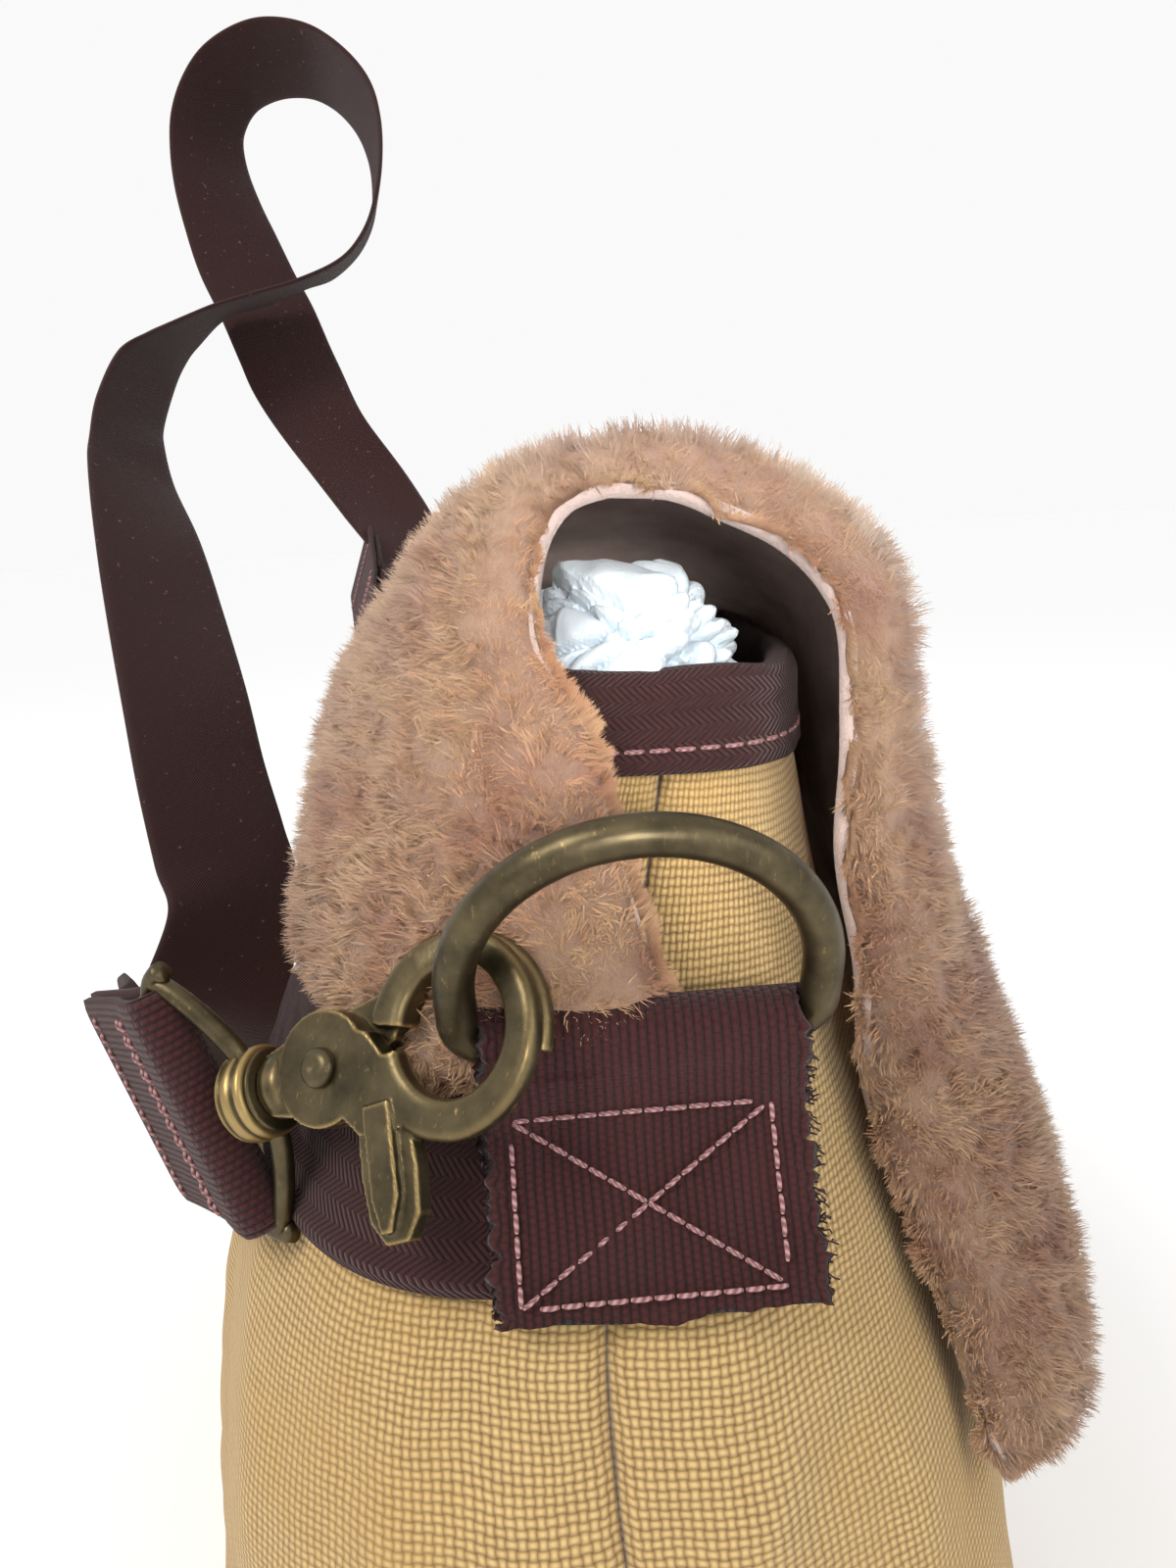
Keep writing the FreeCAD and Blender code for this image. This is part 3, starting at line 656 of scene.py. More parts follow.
bind_turns, bind_run = even_turns(0, 2 * math.pi, 520, 300.0)
bind_turns, bind_run = bind_turns[:-1], bind_run[:-1]
over = [(1.3, 284.5), (1.9, 285.0), (1.95, 290), (1.95, 296), (1.7, 299.8), (0.6, 301.6), (-1.2, 302.0),
        (-2.9, 301.6), (-4.1, 299.8), (-4.3, 296), (-4.3, 290), (-4.2, 285.2), (-3.6, 284.6)]
over = curve_through(over, 40)
around = []
for grow, z in over:
    ring = body_surface(bind_turns, np.full(len(bind_turns), min(z, 300.0)), grow)
    ring[:, 2] = z
    ring += wobble(ring, 30, 11)[:, None] * [0.3, 0.3, 0.35]
    around.append(ring)
girth = np.r_[0, np.cumsum(np.linalg.norm(np.diff(over, axis=0), axis=1))]
uv = np.stack(np.broadcast_arrays(girth[:, None], bind_run[None, :]), axis=-1)
binding = piece("rim_binding", around, grid_faces(len(over), len(bind_turns), True, True), TAPE, uv)
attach(binding, "bag")
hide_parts("rim_binding")

row = body_surface(bind_turns, np.full(len(bind_turns), 288.6), 1.95)
row_out = row - [0, -4, 288.6]
row_out[:, 2] = 20
row_out /= np.linalg.norm(row_out, axis=1)[:, None]
rim_thread = stitches("rim_stitching", row, row_out, 3.4, 1.1)
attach(rim_thread, "bag")

band_turns, band_run = even_turns(math.radians(0.2), math.radians(179.8), 400, 228.0)
keep = body_surface(band_turns, np.full(400, 228.0))[:, 1] > 24
band_turns, band_run = band_turns[keep], band_run[keep]
band_rows = []
band_heights = np.linspace(211, 244, 24)
for k, z in enumerate(band_heights):
    lift = 1.5 if 0 < k < 23 else 0.2
    ring = body_surface(band_turns, np.full(len(band_turns), z), lift)
    band_rows.append(ring + wobble(ring * [1, 1, 0.3], 40, 12)[:, None] * [0.4, 0.4, 0])
band_rows = np.array(band_rows)
uv = np.stack(np.broadcast_arrays(band_heights[:, None], band_run[None, :]), axis=-1)
band = piece("back_band", band_rows, grid_faces(24, len(band_turns)), TAPE, uv)
baked(band, ("SOLIDIFY", {"thickness": 1.2 * MM, "offset": -1.0}))
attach(band, "bag")
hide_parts("back_band")
for label, z in (("low", 213.8), ("high", 241.2)):
    row = body_surface(band_turns, np.full(len(band_turns), z), 1.7)
    out = row - [0, 10, z]
    out /= np.linalg.norm(out, axis=1)[:, None]
    thread = stitches(f"band_stitching_{label}", row, out, 3.4, 1.1)
    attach(thread, "bag")


# ------------------------------------------------------------ webbing tabs
# A tab of ribbed webbing folded over each D-ring's bar and sewn flat to the end of the
# bag with a boxed cross of rose thread; one cut edge has frayed.

SLOPE = math.radians(26.3)
BARS = {"near": (-194.6, 8, 248), "far": (194.6, 8, 248)}
SIDE = {"near": -1, "far": 1}


def tab_frame(end):
    sign = SIDE[end]
    return facing(BARS[end], (0, sign, 0), (-sign * math.sin(SLOPE), 0, math.cos(SLOPE)))


def tab(end):
    place = tab_frame(end)
    bow = [(4.6 * math.sin(a), 4.6 * math.cos(a)) for a in np.linspace(0, math.pi, 14)]
    line = [(-42.5, -2.1), (-37, -2.0), (-29, -1.9), (-20, -1.7), (-13, -1.0), (-8, 1.2), (-4, 3.4)]
    line += bow + [(-5, -4.6), (-20, -4.5), (-42, -4.4)]
    line = curve_through(line, 150)
    path = np.column_stack([np.zeros(150), line])
    half, thick = 25.4, 1.25
    sides = np.linspace(-half, half, 61)
    section = np.vstack([
        np.column_stack([sides, np.full(61, thick)]),
        np.column_stack([sides[::-1], np.full(61, -thick)]),
    ])
    across = np.tile([1.0, 0, 0], (150, 1))
    obj = sweep(f"{end}_chape", path, section, WEBBING, across)
    co = np.empty(len(obj.data.vertices) * 3)
    obj.data.vertices.foreach_get("co", co)
    co = co.reshape(-1, 3) / MM
    rough = wobble(co, 5, 21, 3)
    edge = np.clip(np.abs(co[:, 0]) / half, 0, 1) ** 16
    co[:, 0] += np.sign(co[:, 0]) * edge * (rough * 0.8 + wobble(co, 1.3, 22) * 0.3)
    co[:, 2] += wobble(co * [1, 1, 0], 21, 23) * 0.5 * (co[:, 1] < -6)
    low = np.clip((-36 - co[:, 1]) / 6, 0, 1)
    co[:, 1] += low * (wobble(co * [1, 0, 0], 9, 24) * 0.7 - 0.02 * co[:, 0])
    obj.data.vertices.foreach_set("co", (moved(co, place) * MM).ravel())
    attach(obj, "bag")
    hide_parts(f"{end}_chape")
    top, bottom, left, right_edge = -12.0, -39.4, -21.5, 19.5
    corners = [(left, top), (right_edge, top), (right_edge, bottom), (left, bottom), (left, top)]
    rows = list(zip(corners, corners[1:]))
    rows += [((left, top), (right_edge, bottom)), ((left, bottom), (right_edge, top))]
    made = []
    for k, (a, b) in enumerate(rows):
        t = np.linspace(0, 1, 30)[:, None]
        flat = np.array(a) * (1 - t) + np.array(b) * t
        height = np.interp(flat[:, 1], line[:58, 0], line[:58, 1]) + thick + 0.55
        local = np.column_stack([flat, height])
        out = np.tile(place[1][:, 2], (30, 1))
        made.append(stitches(f"{end}_tab_row_{k}", moved(local, place), out, 3.0, 0.55, 0.4))
    thread = merged(f"{end}_tab_stitching", made, THREAD)
    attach(thread, "bag")
    random = np.random.default_rng(31)
    ends = []
    for k in range(150):
        y = random.uniform(-42, 2)
        side = 1 if k < 110 else -1
        z0 = np.interp(y, line[:58, 0], line[:58, 1])
        start = np.array([side * half - side * 0.6, y, z0 + random.uniform(-1, 1)])
        reach = random.uniform(0.8, 2.6) if side > 0 else random.uniform(0.4, 1.2)
        way = np.array([side, random.uniform(-0.9, 0.5), random.uniform(-0.3, 0.5)])
        t = np.linspace(0, 1, 5)[:, None]
        path = start + way * reach * t + random.normal(size=(5, 3)) * 0.22 * t
        ends.append(sweep(f"fray{k}", moved(path, place), circle(0.16, 4), WEBBING))
    fray = merged(f"{end}_tab_fray", ends, WEBBING)
    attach(fray, "bag")


for end in BARS:
    tab(end)


# ---------------------------------------------------------------- D-rings
# Bent brass rod, brazed at the bar.

LEAN = {"near": math.radians(24), "far": math.radians(12)}


def d_ring(end):
    sign = SIDE[end]
    place = facing(BARS[end], (0, sign, 0), (sign * math.sin(LEAN[end]), 0, math.cos(LEAN[end])))
    half, height, corner = 28.5, 40, 5.5
    leg = height - half
    path = [(x, 0) for x in np.linspace(-half + corner, half - corner, 24)]
    path += [(half - corner + corner * math.cos(a), corner + corner * math.sin(a))
             for a in np.linspace(-1.4, 0, 8)]
    path += [(half, y) for y in np.linspace(corner + 1.5, leg - 1, 4)]
    path += [(half * math.cos(a), leg + half * math.sin(a)) for a in np.linspace(0, math.pi, 70)]
    path += [(-half, y) for y in np.linspace(leg - 1, corner + 1.5, 4)]
    path += [(-half + corner + corner * math.cos(a), corner + corner * math.sin(a))
             for a in np.linspace(math.pi, math.pi + 1.4, 8)]
    path = np.column_stack([path, np.zeros(len(path))])
    obj = sweep(f"{end}_d_ring", moved(path, place), circle(3.25, 28), BRASS, closed=True)
    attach(obj, f"{end}_ring")
    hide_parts(f"{end}_d_ring")


for end in BARS:
    d_ring(end)


# ---------------------------------------------------------- trigger hooks
# Two brass castings on one rivet: the fixed half carries the swivel stud and the upper
# arc of the eye, the moving half the lower arc and the thumb lever.

HOOKS = {
    "near": ((-197.7, 36.2, 252), (-0.405, -0.836, 0.371), (0.56, 0.09, 0.82), (0.123, 0.376, 0.917)),
    "far": ((199.8, 37.6, 265.3), (-0.035, -0.911, -0.41), (-0.978, 0.116, -0.173), (0.525, 0.332, -0.783)),
}
REACH = 25


def slab(name, outline, low, high, place):
    """A flat outline in the local XY plane given a thickness."""
    n = len(outline)
    verts = np.vstack([np.column_stack([outline, np.full(n, z)]) for z in (low, high)])
    faces = [tuple(range(n))[::-1], tuple(range(n, 2 * n))]
    faces += [(i, (i + 1) % n, n + (i + 1) % n, n + i) for i in range(n)]
    return piece(name, moved(verts, place), faces, BRASS)


def arc_bar(name, place, radius, start, end, z_rows, width_rows, thick_rows):
    """A curved bar round the middle of the eye with a changing section."""
    angle = np.linspace(start, end, 48)
    share = np.linspace(0, 1, 48)
    rows = [np.interp(share, np.linspace(0, 1, len(r)), r) for r in (z_rows, width_rows, thick_rows)]
    turn = np.linspace(0, 2 * math.pi, 24, endpoint=False)
    square = 0.62
    a = np.sign(np.cos(turn)) * np.abs(np.cos(turn)) ** square
    b = np.sign(np.sin(turn)) * np.abs(np.sin(turn)) ** square
    rad = np.radians(angle)
    verts = []
    for k in range(48):
        r = radius + a * rows[1][k] / 2
        depth = rows[0][k] + b * rows[2][k] / 2
        verts.append(np.column_stack([REACH + r * math.cos(rad[k]), r * math.sin(rad[k]), depth]))
    faces = grid_faces(48, 24, False, True) + [tuple(range(24))[::-1], tuple(range(47 * 24, 48 * 24))]
    return piece(name, moved(np.vstack(verts), place), faces, BRASS)


def round_outline(cx, cy, radius, count=40):
    turn = np.linspace(0, 2 * math.pi, count, endpoint=False)
    return np.column_stack([cx + radius * np.cos(turn), cy + radius * np.sin(turn)])


def along_z(name, rows, place, material):
    """A turned part about the local Z axis: rows of (height, radius)."""
    origin, axes = place
    return lathe(name, rows, (origin, axes[:, [2, 0, 1]]), material)


def hook(end):
    eye, shank, hook_up, bail_up = HOOKS[end]
    axis = np.array(shank) / np.linalg.norm(shank)
    origin = np.array(eye) - axis * REACH
    place, bail_place = facing(origin, axis, hook_up), facing(origin, axis, bail_up)

    fixed = cast(f"{end}_hook_body", [
        slab("a", round_outline(0, 0, 9.2), -3.9, -0.2, place),
        arc_bar("b", place, 13.3, 163, 60, [-0.4, -0.8, -2.0], [7.0, 6.0, 5.4], [6.6, 6.0, 3.9]),
        arc_bar("c", place, 13.3, 62, -25, [-2.0, -2.1], [5.4, 4.6], [3.8, 3.2]),
        slab("d", [(0, 8.5), (-3, 3), (6, 0), (12, 2), (15, 7.5), (10, 10)], -3.9, -0.3, place),
        slab("e", [(-12.5, -5), (-5, -7), (-5, 7), (-12.5, 5)], -3.6, 3.2, place),
        lathe("f", [(-13.2, 5.2), (-11.4, 5.6), (-9.5, 5.2), (-7.6, 3.4)], place, BRASS),
    ], BRASS)
    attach(fixed, f"{end}_hook")
    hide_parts(f"{end}_hook_body")

    moving = cast(f"{end}_trigger_jaw", [
        slab("a", round_outline(0, 0, 9.4), 0.2, 4.2, place),
        arc_bar("b", place, 13.3, -176, 62, [2.2, 2.2, 2.0], [7.2, 5.8, 5.0], [4.3, 4.4, 3.4]),
        slab("c", [(2, -7), (5, 5.5), (10, 3.5), (13.5, -2), (16, -9), (14.4, -12.5), (6.5, -12)],
             0.2, 4.3, place),
        slab("d", [(5.9, -8), (15.8, -8), (16.4, -18), (15.8, -25), (13.2, -28.6), (9, -28.6),
                   (6.4, -25), (5.6, -18)], 0.3, 3.6, place),
        slab("e", [(8.3, -8), (13.6, -8), (13.4, -22), (11.4, -27), (9.6, -27), (8.3, -22)], 0.3, 5.2, place),
    ], BRASS)
    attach(moving, f"{end}_jaw")
    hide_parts(f"{end}_trigger_jaw")

    head = along_z(f"{end}_rivet", [
        (-4.6, 2.2), (-4.3, 3.0), (-3.9, 3.1), (-3.8, 2.3), (4.1, 2.35), (4.2, 3.2), (4.9, 3.25), (5.6, 2.9),
        (6.1, 2.1), (6.15, 1.0), (5.9, 0.4), (5.85, 0.05),
    ], place, RIVET_METAL)
    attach(head, f"{end}_hook")
    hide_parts(f"{end}_rivet")

    wind = np.linspace(0, 2 * math.pi * 1.9, 90)
    coil = np.column_stack([4.5 * np.cos(wind), 4.5 * np.sin(wind), -1.5 + wind / 6.28 * 0.62])
    legs = np.vstack([[(1, 9, -1.5), (3.4, 4.6, -1.5)], coil, [(2, -6.5, -0.25)]])
    wire = sweep(f"{end}_trigger_spring", moved(legs, place), circle(0.28, 8), RIVET_METAL)
    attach(wire, f"{end}_hook")
    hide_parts(f"{end}_trigger_spring")

    washer_rows = [(-14.3, 3.1), (-14.3, 6.6), (-14.1, 7.0), (-13.6, 7.0), (-13.4, 6.6), (-13.4, 3.1)]
    washer = lathe(f"{end}_swivel_washer", washer_rows, place, RIVET_METAL)
    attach(washer, f"{end}_hook")
    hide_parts(f"{end}_swivel_washer")

    collar = lathe("collar", [
        (-14.5, 3.1), (-14.5, 7.2), (-14.9, 7.8), (-15.8, 7.9), (-16.2, 7.2), (-16.7, 7.2), (-17.1, 7.9),
        (-18.6, 8.0), (-19.1, 7.3), (-19.6, 7.3), (-20.0, 7.7), (-20.6, 7.2), (-20.9, 5.6), (-21.0, 3.2),
    ], bail_place, BRASS)
    cap_rows = [(-20.8, 4.4), (-21.6, 4.6), (-22.4, 4.0), (-22.9, 2.4), (-23.0, 0.1)]
    cap = lathe("cap", cap_rows, bail_place, BRASS)
    half, corner, bar = 25.6, 5.5, -30.0
    bow = [(-17.5, 6.0), (-18.6, 10), (-21.2, 15.5), (-24.6, 20.8), (-27.4, 24.6), (bar + corner, half)]
    bow = np.vstack([curve_through(bow, 30), [
        (bar + corner - corner * math.sin(a), half - corner + corner * math.cos(a))
        for a in np.linspace(0.1, math.pi / 2, 10)]])
    path = np.vstack([bow, bow[::-1] * [1, -1]])
    path = curve_through(np.column_stack([path, np.zeros(len(path))]), 140)
    wire = sweep("wire", moved(path, bail_place), circle(1.85, 18), BRASS)
    bail = merged(f"{end}_bail", [collar, cap, wire], BRASS)
    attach(bail, "strap")
    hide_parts(f"{end}_bail")
    return bail_place, moved([(bar, 0, 0)], bail_place)[0]


BAILS = {end: hook(end) for end in HOOKS}


# --------------------------------------------------------- shoulder strap
# Two inch brown-maroon webbing. Each end is folded round the bail's bar and sewn back
# on itself; between them the strap stands up in one twisted loop.

STRAP = [
    ((-112, 105, 212), (0.12, 0.45, 0.88)), ((-45, 123, 192), (0.05, 0.72, 0.69)),
    ((-5, 130, 178), (-0.1, 0.9, 0.42)), ((15, 130, 182), (-0.4, 0.87, 0.25)),
    ((37, 126, 208), (-0.66, 0.75, -0.0)), ((51, 132, 223), (-0.62, 0.78, -0.07)),
    ((72, 141, 246), (-0.63, 0.78, -0.02)), ((93, 149, 271), (-0.63, 0.77, -0.03)),
    ((124, 161, 304), (-0.68, 0.73, 0.07)), ((149, 171, 332), (-0.77, 0.63, 0.05)),
    ((179, 183, 361), (-0.87, 0.46, 0.19)), ((193, 187, 377), (-0.93, 0.36, 0.08)),
    ((208, 188, 392), (-0.93, 0.28, 0.21)), ((226, 183, 413), (-0.96, 0.23, 0.18)),
    ((237, 176, 423), (-0.99, 0.07, 0.13)), ((246, 170, 430), (-1.0, 0.02, 0.05)),
    ((260, 154, 443), (-1.0, -0.06, -0.08)), ((269, 134, 450), (-1.0, -0.05, -0.08)),
    ((275, 115, 457), (-0.99, -0.06, -0.12)), ((281, 99, 464), (-0.98, -0.17, -0.05)),
    ((286, 87, 475), (-0.99, -0.12, -0.08)), ((292, 79, 490), (-0.99, -0.13, -0.04)),
    ((299, 75, 509), (-0.97, -0.18, 0.16)), ((308, 75, 531), (-0.95, -0.2, 0.24)),
    ((316, 80, 550), (-0.94, -0.21, 0.26)), ((324, 91, 566), (-0.93, -0.17, 0.31)),
    ((332, 106, 578), (-0.91, -0.08, 0.4)), ((338, 123, 583), (-0.88, 0.07, 0.46)),
    ((342, 138, 582), (-0.88, 0.17, 0.45)), ((345, 152, 576), (-0.87, 0.34, 0.35)),
    ((344, 161, 565), (-0.86, 0.45, 0.24)), ((341, 166, 551), (-0.83, 0.55, 0.1)),
    ((337, 166, 534), (-0.76, 0.64, 0.07)), ((329, 162, 514), (-0.65, 0.76, 0.06)),
    ((321, 156, 494), (-0.54, 0.84, -0.01)), ((311, 148, 471), (-0.42, 0.91, -0.05)),
    ((301, 138, 449), (-0.42, 0.9, -0.11)), ((290, 128, 423), (-0.37, 0.93, -0.04)),
    ((277, 116, 395), (-0.09, 0.99, 0.09)), ((261, 93, 361), (-0.37, 0.93, 0.06)),
    ((250, 80, 341), (-0.49, 0.87, 0.08)), ((241, 72, 327), (-0.69, 0.72, 0.04)),
    ((232, 69, 314), (-0.74, 0.66, 0.12)), ((224, 78, 306), (-0.7, 0.2, 0.5)),
    ((214, 89, 299), (-0.53, -0.33, 0.78)),
]
HALF_STRAP, THICK_STRAP = 25.0, 2.4


def strap_section(half=HALF_STRAP, thick=THICK_STRAP):
    sides = np.linspace(-half, half, 25)
    face = thick / 2 * (1 - 0.5 * (np.abs(sides) / half) ** 14)
    return np.vstack([np.column_stack([sides, face]), np.column_stack([sides[::-1], -face[::-1]])])


def fold(end, leave):
    """The sewn fold round the bail's bar; leave is the direction in which the strap goes on."""
    place, bar = BAILS[end]
    axis = place[1][:, 1]
    away = np.array(leave, float)
    away -= axis * (away @ axis)
    away /= np.linalg.norm(away)
    up = np.cross(axis, away)
    round_bar = 3.5
    arc_pts = [(-round_bar * math.sin(a), round_bar * math.cos(a)) for a in np.linspace(0, math.pi, 15)]
    line = [(44, 1.45), (30, 1.5), (16, 1.9), (7, 3.1)] + arc_pts
    line += [(7, -3.1), (16, -1.6), (30, -1.35), (50, -1.35)]
    line = curve_through(line, 130)
    path = bar + line[:, :1] * away + line[:, 1:] * up
    obj = sweep(f"{end}_strap_loop", path, strap_section(23.2, 2.5), WEBBING, np.tile(axis, (130, 1)))
    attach(obj, "strap")
    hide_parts(f"{end}_strap_loop")
    made = []
    for k, (x, side) in enumerate(((12, 1), (17, 1), (38, 1), (12, -1), (17, -1), (38, -1))):
        across = np.linspace(-21, 21, 30)[:, None]
        height = np.interp(x, line[:50, 0][::-1], line[:50, 1][::-1]) if side > 0 else -np.interp(
            x, line[80:, 0], -line[80:, 1])
        points = bar + away * x + up * (height + side * 1.45) + axis * across
        made.append(stitches(f"fold_row_{k}", points, np.tile(up * side, (30, 1)), 2.8, 0.7, 0.4))
    thread = merged(f"{end}_loop_stitching", made, THREAD)
    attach(thread, "strap")
    return bar + away * 40 - up * 3.9, axis


near_start, near_across = fold("near", (0.80, 0.50, -0.33))
centres = [near_start] + [np.array(p) for p, _ in STRAP]
widths = [near_across] + [np.array(w, float) for _, w in STRAP]
rows = curve_through(np.column_stack([centres, widths]), 520)
ends = np.minimum(np.arange(520), np.arange(520)[::-1])
narrow = np.interp(ends, [0, 24], [0.88, 1])
strap = sweep("shoulder_strap", rows[:, :3], strap_section(), STRAP_CLOTH, rows[:, 3:], scale=narrow,
              slanted=True)
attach(strap, "strap")
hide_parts("shoulder_strap")
fold("far", rows[-1, :3] - BAILS["far"][1])


# --------------------------------------------------------- shearling flap
# One piece of sheared sheepskin, wool outside: sewn under the band at the back, over
# the mouth and hanging free down the front. Rows run from the back seam to the front
# hem as the leather's inner face; columns run from the near end to the far one.

END_BACK = [(-189, 2, 252), (-185, 6, 264), (-178.6, 10.2, 276.9), (-171.8, 11.5, 289.1),
            (-166.4, 15.6, 298.7),
            (-163.4, 19.6, 307.2), (-161.5, 20.4, 315.6), (-159.9, 18.1, 323.8), (-159.1, 12.6, 329.4),
            (-159.1, 5.6, 331.5)]
END_FRONT = [(-159.1, 5.6, 331.5), (-159.8, -4.6, 330.9), (-161.1, -12.8, 327.1), (-162.9, -22.7, 321.6),
             (-164.8, -29, 314.5), (-166.8, -31.8, 306), (-170.4, -31.8, 289.3), (-174.9, -30.5, 267.7),
             (-178.1, -30.6, 252.6), (-181.4, -32.1, 228.2), (-182.4, -38.8, 201.3), (-183.9, -45.6, 181.7),
             (-188, -49.7, 163.9), (-189.6, -51.9, 156.8)]
WRAP_BACK = [(-191, 21, 239), (-184, 25, 259), (-175, 25, 276), (-168, 25, 289), (-162, 26, 299),
             (-158, 27, 308), (-156, 26, 317), (-154, 21, 325), (-153, 13.5, 330.5), (-153, 5.5, 332.5)]
WRAP_FRONT = [(-153, 5.5, 332.5), (-154, -5, 332.5), (-155, -15, 329.5), (-156, -26, 324), (-158, -34, 316),
              (-160, -38, 306), (-163, -39, 289), (-167, -39, 268), (-170, -42, 252), (-173, -50, 228),
              (-175, -57, 201), (-176, -63, 181), (-179, -64, 164), (-180, -63, 155)]
MID_BACK = [(-172, 53, 239), (-165, 48, 258), (-156, 43, 276), (-150, 41, 289), (-145, 39, 300),
            (-141, 36, 310), (-138, 32, 319), (-136, 25, 327), (-135, 15, 332), (-135, 5.5, 333.5)]
MID_FRONT = [(-135, 5.5, 333.5), (-136, -7, 333), (-137, -19, 329), (-138, -31, 323), (-140, -40, 315),
             (-142, -43, 305), (-145, -44, 289), (-148, -45, 268), (-150, -49, 252), (-153, -58, 228),
             (-155, -67, 201), (-156, -71, 181), (-158, -71, 164), (-159, -70, 154)]
QUARTER_BACK = [(-103, 69, 246), (-100, 64, 260), (-98, 60, 276), (-96, 55, 290), (-95, 48, 303),
                (-95, 41, 313), (-95, 33, 322), (-95, 24, 328.5), (-95, 14, 332), (-95, 3, 333)]
QUARTER_FRONT = [(-95, 3, 333), (-95, -8, 332.5), (-95, -18, 330), (-95, -29, 324), (-95, -39, 315),
                 (-95, -44, 304), (-96, -46, 288), (-97, -49, 268), (-98, -52, 252), (-99, -61, 228),
                 (-100, -70, 203), (-101, -74, 182), (-102, -76, 166), (-103, -76, 156)]
CENTRE_BACK = [(0, 76, 246), (0, 71, 260), (0, 66, 276), (0, 60, 291), (0, 53, 304), (0, 45, 314),
               (0, 36, 322), (0, 26, 328), (0, 14, 332), (0, 2, 333)]
CENTRE_FRONT = [(0, 2, 333), (0, -9, 332.5), (0, -20, 331), (0, -32, 326), (0, -43, 317), (0, -49, 305),
                (0, -52, 288), (0, -56, 268), (0, -59, 252), (0, -67, 228), (0, -75, 203), (0, -79, 182),
                (0, -81, 167), (0, -82, 157)]
BACK_ROWS, FRONT_ROWS, COLUMNS = 46, 84, 170


def mirrored(rows):
    return [(-x, y, z) for x, y, z in rows]


stations = [(END_BACK, END_FRONT), (WRAP_BACK, WRAP_FRONT), (MID_BACK, MID_FRONT),
            (QUARTER_BACK, QUARTER_FRONT), (CENTRE_BACK, CENTRE_FRONT)]
stations += [(mirrored(b), mirrored(f)) for b, f in stations[-2::-1]]
profiles = np.array([
    np.vstack([curve_through(b, BACK_ROWS), curve_through(f, FRONT_ROWS)[1:]]) for b, f in stations
])
hide = np.array([curve_through(profiles[:, k], COLUMNS) for k in range(profiles.shape[1])])
rows_n = hide.shape[0]
held = np.clip((125 - np.abs(hide[..., 0])) / 80, 0, 1)
hide[..., 2] -= 23 * held**2 * (3 - 2 * held) * np.clip((hide[..., 2] - 292) / 38, 0, 1)
flat = hide.reshape(-1, 3)
hide += (wobble(flat, 75, 41) * 1.6).reshape(hide.shape[:2])[..., None] * [0.2, 1, 0.5]


def normals_of(surface):
    along, cross = np.gradient(surface, axis=0), np.gradient(surface, axis=1)
    n = np.cross(along, cross)
    return n / np.linalg.norm(n, axis=2)[..., None]


hide_out = normals_of(hide)
if hide_out[rows_n // 3, COLUMNS // 2, 2] < 0:
    hide_out = -hide_out
run_s = np.r_[0, np.cumsum(np.linalg.norm(np.diff(hide[:, COLUMNS // 2], axis=0), axis=1))]
run_t = np.r_[0, np.cumsum(np.linalg.norm(np.diff(hide[rows_n // 3], axis=0), axis=1))]


def shell(name, low, high, material, cut=False):
    """A closed sheet between two heights over the hide's inner face."""
    surface = hide.copy()
    edge_s = np.minimum(run_s, run_s[-1] - run_s)[:, None] * np.ones((1, COLUMNS))
    edge_t = np.minimum(run_t, run_t[-1] - run_t)[None, :] * np.ones((rows_n, 1))
    edge = np.minimum(edge_s, edge_t)
    if callable(high):
        top = high(edge)
    else:
        top = np.full(edge.shape, float(high))
    a = surface + hide_out * low
    b = surface + hide_out * top[..., None]
    n = rows_n * COLUMNS
    faces = [f[::-1] for f in grid_faces(rows_n, COLUMNS)] + grid_faces(rows_n, COLUMNS, first=n)
    rim = [(i, 0) for i in range(rows_n)] + [(rows_n - 1, j) for j in range(1, COLUMNS)]
    rim += [(i, COLUMNS - 1) for i in range(rows_n - 2, -1, -1)] + [(0, j) for j in range(COLUMNS - 2, 0, -1)]
    index = [i * COLUMNS + j for i, j in rim]
    faces += [(p, q, q + n, p + n) for p, q in zip(index, index[1:] + index[:1])]
    obj = piece(name, np.vstack([a.reshape(-1, 3), b.reshape(-1, 3)]), faces, material)
    work = bmesh.new()
    work.from_mesh(obj.data)
    bmesh.ops.recalc_face_normals(work, faces=work.faces)
    work.to_mesh(obj.data)
    work.free()
    if cut:
        near_edge = np.clip(1.4 - edge / 2.2, 0, 1).ravel()
        layer = obj.data.attributes.new("cut", "FLOAT", "POINT")
        layer.data.foreach_set("value", np.r_[near_edge, near_edge].astype(np.float32))
    return obj


def pile_height(edge):
    """Height of the pile's dense part: full inside, rounded off towards the cut edges."""
    return 3.2 + 5.6 * np.sqrt(np.clip(edge / 9, 0, 1) * (2 - np.clip(edge / 9, 0, 1)))


def pile_lumps(points):
    """Gentle swellings of the pile, shared by the underlayer and the locks."""
    return wobble(points, 11, 51) * 0.5 + wobble(points, 28, 52) * 0.8


skin = shell("flap_hide", 0.0, 3.4, SUEDE, cut=True)
fleece = shell("flap_fleece", 2.6, pile_height, FLEECE)
for obj in (skin, fleece):
    co = np.empty(len(obj.data.vertices) * 3)
    obj.data.vertices.foreach_get("co", co)
    co = co.reshape(-1, 3) / MM
    rows_count = rows_n * COLUMNS
    lump = np.zeros(len(co))
    if obj is fleece:
        lump[rows_count:] = pile_lumps(hide.reshape(-1, 3))
        co[rows_count:] += hide_out.reshape(-1, 3) * lump[rows_count:, None]
    co += wobble(co, 60, 53)[:, None] * [0.4, 0, 0.3]
    obj.data.vertices.foreach_set("co", (co * MM).ravel())
    obj.data.update()


